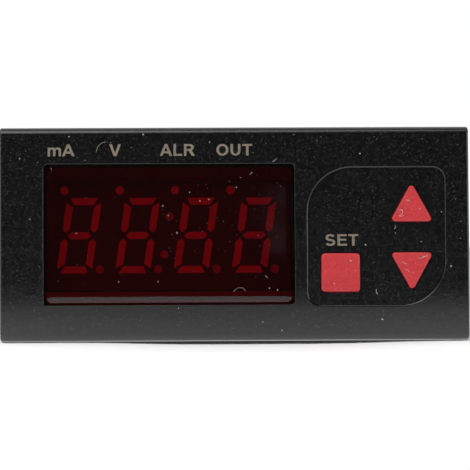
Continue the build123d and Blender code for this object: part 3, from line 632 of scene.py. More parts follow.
@dataclass(frozen=True)
class WoundCopper(Finish):
    """Enamelled wire wound turn beside turn."""

    crest: Colour
    # Colour of the painted shade in the grooves between turns.
    groove_shade: Colour
    pitch: float
    roughness: Range = (0.28, 0.4)
    wobble: float = 0.8
    crest_range: Range = (0.1, 0.6)
    gloss_scale: float = 900.0
    groove_depth: float = 0.00006
    metal: float = 0.8

    def surface(self, bench: Bench) -> Socket:
        """Draws one band to a turn, with painted shade in the groove between two turns.

        Args:
            bench: The material's empty tree.

        Returns:
            The surface.
        """
        turns = bench.bands(0.5 / self.pitch, Axis.SIDE, self.wobble)
        # Painted shade: the dark brown fills the groove between turns.
        colour = bench.blend(bench.span(turns, self.crest_range), self.groove_shade, self.crest)
        rough = bench.span(bench.noise(self.gloss_scale), USUAL, self.roughness)
        return bench.solid(colour, rough, bench.bump(turns, self.groove_depth), {"Metallic": self.metal})


@dataclass(frozen=True)
class PrintInk(Finish):
    """Screen print with a slightly broken film."""

    tint: Colour
    thin: Colour
    roughness: Range = (0.5, 0.6)
    thin_scale: float = 4200.0
    thin_range: Range = (0.5, 0.75)
    depth: float = 0.000005

    def surface(self, bench: Bench) -> Socket:
        """Thins the ink by a fine noise of the grain's scale.

        Args:
            bench: The material's empty tree.

        Returns:
            The surface.
        """
        thin = bench.span(bench.noise(self.thin_scale, detail=3.0), self.thin_range)
        rough = bench.span(thin, (0.0, 1.0), self.roughness)
        return bench.solid(bench.blend(thin, self.tint, self.thin), rough, bench.bump(thin, self.depth))


@dataclass(frozen=True)
class DustFleck(Finish):
    """Pale household dust and lint."""

    pale: Colour
    grey: Colour
    roughness: Range = (0.75, 0.95)
    mix_scale: float = 1400.0
    mix_range: Range = (0.35, 0.65)
    gloss_scale: float = 2600.0

    def surface(self, bench: Bench) -> Socket:
        """Mixes a pale and a grey lint by noise.

        Args:
            bench: The material's empty tree.

        Returns:
            The surface.
        """
        colour = bench.blend(bench.span(bench.noise(self.mix_scale), self.mix_range), self.pale, self.grey)
        return bench.solid(colour, bench.span(bench.noise(self.gloss_scale), USUAL, self.roughness))


@dataclass(frozen=True)
class StudioPaper(Finish):
    """White paper that keeps the shadow and still reads white in the picture and in gloss."""

    tint: Colour
    camera_lift: float
    gloss_lift: float
    far: float
    foot: Range
    foot_side: float
    fade: float = 0.0017
    gloss_power: float = 4.0
    fibre_scale: float = 90.0
    fibre_shade: float = 0.98

    def surface(self, bench: Bench) -> Socket:
        """Adds a little glow to white paper, for camera, glossy and transmission rays alone.

        The glow seen in gloss grows by the fourth power of the way from far in front to the meter's
        foot. The glow seen by the camera stops short of the foot, so that the gap below stays dark.

        Args:
            bench: The material's empty tree.

        Returns:
            The surface.
        """
        fibre = bench.span(bench.noise(self.fibre_scale, detail=3.0), USUAL)
        colour = bench.blend(fibre, self.tint, tuple(self.fibre_shade * part for part in self.tint))
        paper = bench.put("BsdfDiffuse", {"Color": colour})[0]
        path = bench.put("LightPath")
        gloss = bench.join(Join.MOST, path["Is Glossy Ray"], path["Is Transmission Ray"])
        depth = bench.axis(Axis.DEPTH)
        front, back = self.foot
        way = bench.put("MapRange", {0: depth, 1: self.far, 2: front})[0]
        lift = bench.join(Join.TIMES, bench.join(Join.POWER, way, self.gloss_power), self.gloss_lift)
        mirrored = bench.join(Join.TIMES, gloss, lift)
        before = bench.span(depth, (front, front - self.fade))
        behind = bench.span(depth, (back, back + self.fade))
        aside = bench.put("Math", {0: bench.axis(Axis.SIDE)}, operation="ABSOLUTE")[0]
        beside = bench.span(aside, (self.foot_side, self.foot_side + self.fade))
        clear = bench.join(Join.MOST, bench.join(Join.MOST, before, behind), beside)
        white = bench.join(Join.TIMES, clear, self.camera_lift)
        shown = bench.join(Join.TIMES, path["Is Camera Ray"], white)
        feeds = {"Color": WHITE, "Strength": bench.join(Join.MOST, shown, mirrored)}
        return bench.put("AddShader", {0: paper, 1: bench.put("Emission", feeds)[0]})[0]


LINT = DustFleck("dust_pale", srgb(205, 200, 190), srgb(150, 146, 138))
PRINT = PrintInk("label_ink", srgb(121, 111, 96), srgb(80, 73, 65))


def coat(finish: Finish, *names: str) -> None:
    """Gives CAD nodes one finish.

    Args:
        finish: What their surface is.
        *names: The nodes.
    """
    material = finish.material()
    for name in names:
        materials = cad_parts[name].data.materials
        materials.clear()
        materials.append(material)
        log.info("%s has the finish %s", name, material.name)


def show(name: str, data: bpy.types.ID) -> bpy.types.Object:
    """Puts a mesh, a curve, a light or a camera into the scene.

    Args:
        name: The object's name.
        data: What it shows.

    Returns:
        The new object.
    """
    shown = bpy.data.objects.new(name, data)
    bpy.context.scene.collection.objects.link(shown)
    return shown


def new_piece(name: str, mesh: bpy.types.Mesh, finish: Finish, body: Body) -> bpy.types.Object:
    """Makes a piece of a mesh that is already in place.

    Args:
        name: The piece's name.
        mesh: Its mesh, in metres in the shared frame.
        finish: Its finish.
        body: The body that it rides on.

    Returns:
        The new object.
    """
    piece = show(name, mesh)
    mesh.materials.clear()
    mesh.materials.append(finish.material())
    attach(piece, body.value)
    log.info("%s rides on %s", name, body.value)
    return piece


def mesh_of(name: str, points: np.ndarray, faces: np.ndarray) -> bpy.types.Mesh:
    """Makes a smooth mesh of four-sided faces.

    Args:
        name: The mesh's name.
        points: Its points, one to a row, in metres.
        faces: Four point numbers to a row.

    Returns:
        The mesh.
    """
    mesh = bpy.data.meshes.new(name)
    mesh.from_pydata(points.tolist(), [], faces.tolist())
    mesh.polygons.foreach_set("use_smooth", np.ones(len(faces), dtype=bool))
    mesh.update()
    return mesh


def close_seams(mesh: bpy.types.Mesh) -> None:
    """Merges a mesh's doubled points and turns its faces outwards.

    Args:
        mesh: The mesh, in metres.
    """
    shape = bmesh.new()
    shape.from_mesh(mesh)
    bmesh.ops.remove_doubles(shape, verts=shape.verts, dist=SEAM)
    bmesh.ops.recalc_face_normals(shape, faces=shape.faces)
    shape.to_mesh(mesh)
    shape.free()


def closed_mesh(name: str, points: np.ndarray, faces: np.ndarray) -> bpy.types.Mesh:
    """Makes a mesh whose poles and seams are merged and whose faces point outwards.

    Args:
        name: The mesh's name.
        points: Its points, one to a row, in metres.
        faces: Four point numbers to a row.

    Returns:
        The mesh.
    """
    mesh = mesh_of(name, points, faces)
    close_seams(mesh)
    return mesh


def full_turn(sides: int) -> np.ndarray:
    """Gives even angles once round, in radians."""
    return np.arange(sides) * 2 * np.pi / sides


def grid_faces(rows: int, columns: int, copies: int) -> np.ndarray:
    """Numbers the faces of several grids that close round their columns.

    A face joins a point, its neighbour round the ring, and the same two on the next row.

    Args:
        rows: Rings of a grid.
        columns: Points of a ring.
        copies: Grids in the mesh, one after the other.

    Returns:
        Four point numbers to a row.
    """
    counts = (np.arange(rows - 1), np.arange(columns), np.arange(copies))
    row, column, copy = np.meshgrid(*counts, indexing="ij")
    start = copy * rows * columns
    near, far = start + row * columns, start + (row + 1) * columns
    after = (column + 1) % columns
    return np.stack((near + column, near + after, far + after, far + column), axis=-1).reshape(-1, 4)


def face_depth(height: np.ndarray) -> np.ndarray:
    """Gives the bezel face's depth: flat above, and below that an arc that leaves it without a kink.

    Args:
        height: Heights in millimetres.

    Returns:
        Depths in millimetres.
    """
    start, radius = -8.0, 60.0
    below = np.clip(start - height, 0.0, None)
    return Level.FACE.value + radius - np.sqrt(radius**2 - below**2)


def lie_on(level: Level, place: np.ndarray) -> np.ndarray:
    """Sets places across the front onto one of its surfaces.

    Args:
        level: The surface.
        place: Side and height of each place, in millimetres.

    Returns:
        Points in millimetres, one to a row.
    """
    flat = np.full(len(place), level.value)
    depth = face_depth(place[:, 1]) if level is Level.FACE else flat
    return np.stack((place[:, 0], depth, place[:, 1]), axis=-1)


@dataclass(frozen=True)
class Patch:
    """A rectangle of a front surface with its count of fine specks, in millimetres."""

    level: Level
    left: float
    right: float
    bottom: float
    top: float
    count: int


@dataclass(frozen=True)
class Specks:
    """Larger specks on a front surface: side, height and radius of each, in millimetres."""

    level: Level
    rows: tuple[Triple, ...]


@dataclass(frozen=True)
class Fibre:
    """A thread of lint that bends once between two ends, in millimetres."""

    level: Level
    start: Spot
    bend: Spot
    end: Spot
    radius: float


@dataclass(frozen=True)
class Dust:
    """Specks and lint that lie on the front of one body, in millimetres."""

    name: str
    body: Body
    slot: Slot
    patches: tuple[Patch, ...]
    specks: tuple[Specks, ...]
    fibres: tuple[Fibre, ...]
    seed: int
    least_radius: float = 0.02
    more_radius: float = 0.03
    stretch: Range = (0.7, 1.5)
    flatness: float = 0.5
    taper: int = 6
    rings: int = 5
    sides: int = 6
    steps: int = 14

    def scatter(self) -> tuple[np.ndarray, np.ndarray]:
        """Throws fine specks evenly over the patches and adds the listed ones.

        Returns:
            The specks' middles in millimetres and their radii.
        """
        chance = np.random.default_rng(self.seed)
        middles, radii = [], []
        for patch in self.patches:
            side = chance.uniform(patch.left, patch.right, patch.count)
            height = chance.uniform(patch.bottom, patch.top, patch.count)
            middles.append(lie_on(patch.level, np.stack((side, height), axis=-1)))
            radii.append(self.least_radius + self.more_radius * chance.random(patch.count) ** 3)
        for specks in self.specks:
            placed = np.array(specks.rows)
            middles.append(lie_on(specks.level, placed[:, :2]))
            radii.append(placed[:, 2])
        return np.concatenate(middles), np.concatenate(radii)

    def grains(self) -> tuple[np.ndarray, np.ndarray]:
        """Computes all specks as flattened, stretched balls.

        A point lies at its ring's sine round the middle, turned and stretched by chance, and
        stands forward by its ring's cosine times the flatness.

        Returns:
            Points in metres and faces.
        """
        middles, radii = self.scatter()
        chance = np.random.default_rng(self.seed + 1)
        ring = np.linspace(0, np.pi, self.rings)[None, :, None]
        turn = full_turn(self.sides)[None, None, :]
        stretch = chance.uniform(*self.stretch, len(radii))[:, None, None]
        lean = chance.uniform(0, np.pi, len(radii))[:, None, None]
        size = radii[:, None, None]
        along, across = stretch * np.sin(ring) * np.cos(turn), np.sin(ring) * np.sin(turn) / stretch
        side = size * (along * np.cos(lean) - across * np.sin(lean))
        height = size * (along * np.sin(lean) + across * np.cos(lean))
        depth = np.broadcast_to(-self.flatness * size * np.cos(ring), side.shape)
        points = middles[:, None, None, :] + np.stack((side, depth, height), axis=-1)
        return MM * points.reshape(-1, 3), grid_faces(self.rings, self.sides, len(radii))

    def threads(self) -> tuple[np.ndarray, np.ndarray]:
        """Computes all fibres as tapered tubes.

        The middle line weighs start, bend and end by the squares of the way to go and gone and twice
        their product. Each ring lies across it. Its radius falls to nothing at both ends, as the root
        of one less a high power of the way from the middle.

        Returns:
            Points in metres and faces.
        """
        way = np.linspace(0, 1, self.steps)[:, None]
        turn = full_turn(self.sides)[None, :, None]
        tubes = []
        for fibre in self.fibres:
            start, bend, end = (np.array(place) for place in (fibre.start, fibre.bend, fibre.end))
            middle = lie_on(fibre.level, (1 - way) ** 2 * start + 2 * way * (1 - way) * bend + way**2 * end)
            run = np.gradient(middle, axis=0)
            run /= np.linalg.norm(run, axis=1, keepdims=True)
            side = np.cross(run, np.array((0.0, -1.0, 0.0)))
            front = np.cross(side, run)
            radius = fibre.radius * np.sqrt(np.clip(1 - (2 * way - 1) ** self.taper, 0, None))[:, :, None]
            ring = np.cos(turn) * side[:, None, :] + np.sin(turn) * front[:, None, :]
            tubes.append(middle[:, None, :] + radius * ring)
        return MM * np.stack(tubes).reshape(-1, 3), grid_faces(self.steps, self.sides, len(tubes))

    def build(self) -> None:
        """Joins specks and fibres into one piece that rides on the body."""
        grains, grain_faces = self.grains()
        threads, thread_faces = self.threads()
        points = np.concatenate((grains, threads))
        faces = np.concatenate((grain_faces, thread_faces + len(grains)))
        new_piece(self.name, closed_mesh(self.name, points, faces), LINT, self.body)


def bow(middle: Spot, reach: Spot, start: float, end: float, steps: int = 17) -> np.ndarray:
    """Gives a round stretch of a letter.

    A point lies at the middle plus each reach times the cosine or the sine of an angle, which runs
    in even steps from start to end.

    Args:
        middle: Middle of the ellipse.
        reach: Its half width and half height.
        start: First angle in degrees.
        end: Last angle in degrees.
        steps: How many points it has.

    Returns:
        Points, one to a row.
    """
    angle = np.radians(np.linspace(start, end, steps))
    return np.array(middle) + np.array(reach) * np.stack((np.cos(angle), np.sin(angle)), axis=-1)


def loop(*stretches: Spot | np.ndarray) -> np.ndarray:
    """Joins corners and round stretches into one outline."""
    return np.concatenate([np.atleast_2d(np.array(stretch, dtype=float)) for stretch in stretches])


def ribbon(line: np.ndarray, width: float) -> np.ndarray:
    """Outlines a stroke: up one side of its middle line at half the width, and back along the other.

    Args:
        line: The middle line's points, one to a row.
        width: The stroke's width.

    Returns:
        Points, one to a row.
    """
    run = np.gradient(line, axis=0)
    side = np.stack((-run[:, 1], run[:, 0]), axis=-1) / np.linalg.norm(run, axis=1, keepdims=True)
    return np.concatenate((line + width / 2 * side, (line - width / 2 * side)[::-1]))


@dataclass(frozen=True)
class Letter:
    """A plain bold letter: its width and its outlines, in thousandths of the type size."""

    width: float
    outlines: tuple[np.ndarray, ...]


def alphabet() -> dict[str, Letter]:
    """Draws the letters that the front needs, from straight runs and round stretches.

    Returns:
        The letters by name.
    """
    letters = {
        "A": Letter(722, (
            loop((0, 0), (154, 0), (215, 163), (502, 163), (566, 0), (724, 0), (437, 716), (284, 716)),
            loop((260, 284), (457, 284), (358, 549)),
        )),
        "V": Letter(667, (
            loop((0, 716), (158, 716), (336, 186), (514, 716), (668, 716), (412, 0), (256, 0)),
        )),
        "L": Letter(611, (loop((77, 0), (77, 716), (222, 716), (222, 121), (582, 121), (582, 0)),)),
        "T": Letter(611, (
            loop((236, 0), (236, 595), (23, 595), (23, 716), (594, 716), (594, 595), (382, 595), (382, 0)),
        )),
        "E": Letter(667, (
            loop(
                (73, 0), (73, 716), (604, 716), (604, 595), (218, 595), (218, 436),
                (577, 436), (577, 315), (218, 315), (218, 121), (618, 121), (618, 0),
            ),
        )),
        "O": Letter(778, (
            bow((389, 358), (346, 370), 0, 337.5), bow((389, 358), (197, 246), 0, 337.5),
        )),
        "U": Letter(722, (
            loop((72, 716), bow((359, 300), (287, 312), 180, 360), (646, 716), (501, 716),
                 bow((359, 300), (142, 188), 360, 180), (217, 716)),
        )),
        "R": Letter(722, (
            loop((73, 0), (73, 716), bow((400, 508), (250, 208), 90, -58), (712, 0), (540, 0),
                 (352, 300), (218, 300), (218, 0)),
            loop((218, 595), bow((390, 508), (110, 87), 90, -90), (218, 421)),
        )),
    }
    arch = loop(bow((286, 330), (89, 88), 0, 180))
    letters["m"] = Letter(889, (
        loop((61, 0), (61, 519), (190, 519), bow((347, 455), (157, 76), 180, 0),
             bow((668, 455), (163, 76), 180, 90), bow((668, 370), (160, 161), 90, 0), (828, 0), (690, 0),
             arch + (315, 0), (512, 0), (375, 0), arch, (198, 0)),
    ))
    spine = loop(bow((334, 510), (200, 152), 22, 270), bow((334, 206), (215, 152), 90, -160)[1:])
    letters["S"] = Letter(667, (ribbon(spine, 136),))
    return letters


LETTERS = alphabet()


@dataclass(frozen=True)
class Word:
    """One printed word and the box that it fills, in millimetres.

    Its block of type has a thickness of its own, which is fitted to that of the ink film.
    """

    name: str
    text: str
    left: float
    right: float
    base: float
    top: float
    level: Level
    film: float = 0.02
    block: float = 10.0

    def setting(self) -> bpy.types.Curve:
        """Sets the letters side by side as one block of type, each by the widths before it.

        Returns:
            The curve, filled between its outlines.
        """
        curve = bpy.data.curves.new(self.name, "CURVE")
        curve.dimensions, curve.fill_mode, curve.extrude = "2D", "BOTH", self.block
        letters = [LETTERS[letter] for letter in self.text]
        starts = np.cumsum([0.0] + [letter.width for letter in letters])
        for letter, start in zip(letters, starts):
            for outline in letter.outlines:
                spline = curve.splines.new("POLY")
                spline.points.add(len(outline) - 1)
                flat = np.pad(outline + (start, 0.0), ((0, 0), (0, 2)))
                spline.points.foreach_set("co", flat.astype(np.float32).ravel())
                spline.use_cyclic_u = True
        return curve

    def mesh(self) -> bpy.types.Mesh:
        """Makes the word a mesh and fits it into its box.

        Each letter point keeps its share of the word's width and height, and the thin
        film stands half before and half behind the surface by its share of the thickness.

        Returns:
            The word as a closed mesh in place.
        """
        curve = self.setting()
        flat_word = show(self.name + "_setting", curve)
        graph = bpy.context.evaluated_depsgraph_get()
        mesh = bpy.data.meshes.new_from_object(flat_word.evaluated_get(graph))
        bpy.data.objects.remove(flat_word)
        bpy.data.curves.remove(curve)
        flat = np.empty(3 * len(mesh.vertices), dtype=np.float32)
        mesh.vertices.foreach_get("co", flat)
        points = flat.reshape(-1, 3)
        share = (points - points.min(axis=0)) / np.ptp(points, axis=0)
        across = self.left + share[:, 0] * (self.right - self.left)
        height = self.base + share[:, 1] * (self.top - self.base)
        depth = self.level.value + self.film * (0.5 - share[:, 2])
        placed = MM * np.stack((across, depth, height), axis=-1)
        mesh.vertices.foreach_set("co", placed.astype(np.float32).ravel())
        close_seams(mesh)
        return mesh

    def build(self) -> None:
        """Prints the word on the case."""
        new_piece(self.name, self.mesh(), PRINT, Body.CASE)


@dataclass
class FrontPanel:
    """Bezel with its printed words, and the sealing ring behind it, in millimetres."""

    word_base: float = 12.77
    word_top: float = 14.72
    edge: Range = (16.2, 17.8)
    edge_fall: float = 0.25

    def words(self) -> list[Word]:
        """Lists the words along the top of the face.

        Returns:
            The words from left to right.
        """
        row = (self.word_base, self.word_top, Level.FACE)
        return [
            Word("label_ma", "mA", -30.6, -26.2, *row),
            Word("label_v", "V", -20.55, -18.6, *row),
            Word("label_alarm", "ALR", -12.25, -6.5, *row),
            Word("label_out", "OUT", -2.97, 2.92, *row),
        ]

    def build(self) -> None:
        """Prints the words on the face."""
        for word in self.words():
            word.build()

    def dress(self) -> None:
        """Gives the bezel its grained black and the ring its rubber."""
        start, end = self.edge
        bezel = SparkPlastic(
            "bezel_black", srgb(5, 5, 6), srgb(8, 8, 9), srgb(42, 42, 44), (0.2, 0.26), grain=4200.0,
            depth=0.000014, edge=(start * MM, end * MM), edge_fall=self.edge_fall * MM,
        )
        coat(bezel, "front_bezel")
        rubber = SatinPlastic("sealing_rubber", srgb(28, 28, 28), srgb(38, 38, 38), (0.7, 0.8), 0.00001)
        coat(rubber, "panel_gasket")


@dataclass
class DisplayUnit:
    """Filter lens and the four-digit display behind it, in millimetres."""

    rim_front: float = 0.19
    rim_back: float = 0.5
    face_depth: float = -2.4
    paint_reach: float = 0.12
    digit_count: int = 4
    digit_margin: float = 0.76
    point_x: float = 3.37
    point_z: float = -5.57
    colon_x: float = 0.454
    colon_z: float = 3.13
    dot_reach: Range = (0.77, 0.84)
    carrier_pitch: float = 4.0

    def dots(self) -> tuple[Triple, ...]:
        """Places the points and the colon, each by its step from the display's middle.

        Returns:
            The dots' middles in metres, flattened in depth.
        """
        low, high = (np.array(corner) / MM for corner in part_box("display_reflector"))
        middle, width = (low + high) / 2, high[0] - low[0]
        step = np.arange(self.digit_count) - (self.digit_count - 1) / 2
        pitch = (width - 2 * self.digit_margin) / self.digit_count
        points = np.stack((self.point_x + step * pitch, np.full_like(step, self.point_z)), axis=-1)
        colon = np.array(((self.colon_x, self.colon_z), (-self.colon_x, -self.colon_z)))
        places = np.concatenate((points, colon)) + middle[[0, 2]]
        return tuple((MM * side, 0.0, MM * height) for side, height in places.tolist())

    def dress(self) -> None:
        """Dresses the lens, the painted body, the resin and the carrier."""
        low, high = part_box("display_window")
        # The second tint is the painted shade round the lens's rim.
        lens = FilterLens(
            "filter_red", (0.43, 0.006, 0.045, 1.0), (0.06, 0.002, 0.008, 1.0), (0.655, 0.077, 0.21, 1.0),
            roughness=(0.03, 0.11), rim=(low[1] + self.rim_front * MM, high[1] - self.rim_back * MM),
        )
        coat(lens, "display_window")
        paint_depth = (self.face_depth + self.paint_reach) * MM
        painted = PaintedBody("display_body", srgb(70, 68, 68), srgb(52, 49, 49), paint_depth)
        coat(painted, "display_reflector")
        inner, outer = self.dot_reach
        resin = CastResin(
            "segment_milk", srgb(205, 196, 192), srgb(190, 180, 174), srgb(158, 176, 182),
            self.dots(), (inner * MM, outer * MM),
        )
        coat(resin, "segment_resin")
        carrier = BoardLaminate(
            "carrier_sheet", srgb(176, 146, 96), srgb(160, 110, 60), srgb(200, 176, 130),
            self.carrier_pitch * MM, Axis.HEIGHT,
        )
        coat(carrier, "led_board")


@dataclass(frozen=True)
class SnapDome:
    """The sprung dome behind one key, which in the real switch flattens as the key goes in; here it rides
    on the case and keeps its shape.
    """

    key: str
    thickness: float = 0.1 * MM
    steps: int = 9
    sides: int = 32

    def mesh(self, low: np.ndarray, high: np.ndarray) -> bpy.types.Mesh:
        """Computes the dome as a profile turned about the key's axis.

        The profile runs from the crown to the rim on a ball through both, and back to the crown on
        a ball with the same middle that is smaller by the thickness.

        Args:
            low: The lowest corner of the dome's CAD node, in metres.
            high: Its highest corner.

        Returns:
            The dome as a closed mesh in place.
        """
        reach, rise = (high[0] - low[0]) / 2, high[1] - low[1]
        ball = (reach**2 + rise**2) / (2 * rise)
        inside = ball - self.thickness
        lip = np.sqrt(inside**2 - (ball - rise) ** 2)
        out = np.concatenate((np.linspace(0, reach, self.steps), np.linspace(lip, 0, self.steps)))
        depth = low[1] + ball - np.sqrt(np.repeat((ball, inside), self.steps) ** 2 - out**2)
        turn = full_turn(self.sides)
        side = (low[0] + high[0]) / 2 + out[:, None] * np.cos(turn)
        height = (low[2] + high[2]) / 2 + out[:, None] * np.sin(turn)
        points = np.stack((side, np.broadcast_to(depth[:, None], side.shape), height), axis=-1)
        faces = grid_faces(2 * self.steps, self.sides, 1)
        return closed_mesh(self.key + "_snap", points.reshape(-1, 3), faces)

    def build(self, finish: Finish) -> None:
        """Sets the dome in place of its CAD node, on the case, and gives it a mesh of its own.

        Args:
            finish: Its plating.
        """
        node = self.key + "_dome"
        low, high = (np.array(corner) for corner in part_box(node))
        piece = new_piece(self.key + "_snap", self.mesh(low, high), finish, Body.CASE)
        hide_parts(node)
        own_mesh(piece)


@dataclass
class Keypad:
    """Three red keys, their word, and the switches that they press, in millimetres."""

    keys: tuple[str, ...] = ("set", "up", "down")
    word: Word = Word("label_set", "SET", 14.88, 20.26, -2.1, -0.15, Level.KEYPAD)
    edge: Range = (0.03, 0.3)
    sprung: PlatedMetal = PlatedMetal(
        "sprung_plate", srgb(205, 203, 196), srgb(176, 172, 164), (0.19, 0.35)
    )

    def build(self) -> None:
        """Prints the word above the square key and sets the snap domes."""
        self.word.build()
        for key in self.keys:
            SnapDome(key).build(self.sprung)

    def dress(self) -> None:
        """Dresses the key caps and the switches."""
        buttons, plungers, domes = (
            [key + part for key in self.keys] for part in ("_button", "_plunger", "_dome")
        )
        start, end = ((Level.KEY.value + depth) * MM for depth in self.edge)
        # The third red is the grain flecks' colour and the painted highlight along the key edges.
        red = KeyRubber(
            "key_red", srgb(192, 50, 55), srgb(182, 43, 49), srgb(210, 82, 84), (0.44, 0.56), (start, end)
        )
        coat(red, *buttons)
        coat(SatinPlastic("plunger_black", srgb(26, 26, 28), srgb(36, 36, 38), (0.4, 0.5)), *plungers)
        coat(SatinPlastic("switch_black", srgb(24, 24, 25), srgb(34, 34, 35), (0.45, 0.55)), "switch_bases")
        coat(self.sprung, "switch_covers", *domes)


@dataclass
class CaseShell:
    """Housing, rear cover and the two sliding clamps."""

    grain: float = 2600.0
    grain_depth: float = 0.05 * MM

    def dress(self) -> None:
        """Gives the mouldings their black grains."""
        shell = SparkPlastic(
            "case_black", srgb(20, 20, 21), srgb(28, 28, 30), srgb(48, 48, 50), (0.39, 0.45),
            self.grain, self.grain_depth,
        )
        coat(shell, "housing", "rear_cover")
        clamp = SatinPlastic("clamp_black", srgb(28, 28, 29), srgb(38, 38, 40), (0.35, 0.45))
        coat(clamp, "clamp_left", "clamp_right")


@dataclass
class Boards:
    """Both circuit boards and what is soldered to them, in millimetres."""

    track_pitch: float = 5.0
    painted_light_below: float = -8.8
    core_sheet: float = 0.5
    wire: float = 0.4

    def dress(self) -> None:
        """Dresses the boards, their metal and their parts."""
        pitch = self.track_pitch * MM
        # The pale sheet colour below the painted-light height stands in for the lit strip under the
        # display.
        front = BoardLaminate(
            "front_sheet", srgb(112, 96, 76), srgb(124, 106, 84), srgb(232, 212, 194), pitch, Axis.HEIGHT,
            self.painted_light_below * MM,
        )
        coat(front, "display_board")
        green = BoardLaminate(
            "main_sheet", srgb(24, 92, 52), srgb(40, 120, 66), srgb(60, 110, 70), pitch, Axis.DEPTH
        )
        coat(green, "main_board")
        tinned = PlatedMetal("tinned_wire", srgb(214, 213, 208), srgb(184, 182, 176), (0.24, 0.4))
        pins = ("display_pins", "link_pins", "transformer_pins", "relay_pins")
        coat(tinned, *pins, "switch_legs", "controller_legs")
        chip = SatinPlastic("chip_black", srgb(26, 26, 27), srgb(36, 36, 37), (0.5, 0.6))
        coat(chip, "controller_chip", "regulator", "link_strip")
        core = StackedIron("core_sheets", srgb(120, 118, 114), srgb(88, 62, 38), self.core_sheet * MM)
        coat(core, "transformer_core")
        bobbin = SatinPlastic("bobbin_cream", srgb(222, 216, 198), srgb(210, 202, 182), (0.45, 0.55))
        coat(bobbin, "transformer_bobbin")
        winding = WoundCopper("winding_copper", srgb(205, 128, 78), srgb(110, 56, 30), self.wire * MM)
        coat(winding, "transformer_winding")
        coat(SatinPlastic("relay_blue", srgb(52, 88, 150), srgb(46, 80, 140), (0.35, 0.45)), "relay")
        coat(SatinPlastic("can_sleeve", srgb(36, 40, 62), srgb(46, 50, 74), (0.25, 0.35)), "capacitors")
        coat(SatinPlastic("varistor_blue", srgb(54, 100, 168), srgb(46, 90, 156), (0.3, 0.4)), "varistor")


@dataclass
class Terminals:
    """Screw terminals at the rear."""

    def dress(self) -> None:
        """Dresses the block and its plated metal."""
        block = SatinPlastic("block_green", srgb(62, 126, 88), srgb(54, 114, 78), (0.4, 0.5))
        coat(block, "terminal_block")
        cage = PlatedMetal("cage_plate", srgb(206, 204, 196), srgb(170, 168, 158), (0.26, 0.42))
        coat(cage, "terminal_cages")
        screw = PlatedMetal("screw_plate", srgb(214, 212, 206), srgb(178, 174, 166), (0.22, 0.38))
        coat(screw, "terminal_screws")
        pin = PlatedMetal("pin_tin", srgb(212, 211, 206), srgb(182, 180, 174), (0.24, 0.4))
        coat(pin, "terminal_pins")


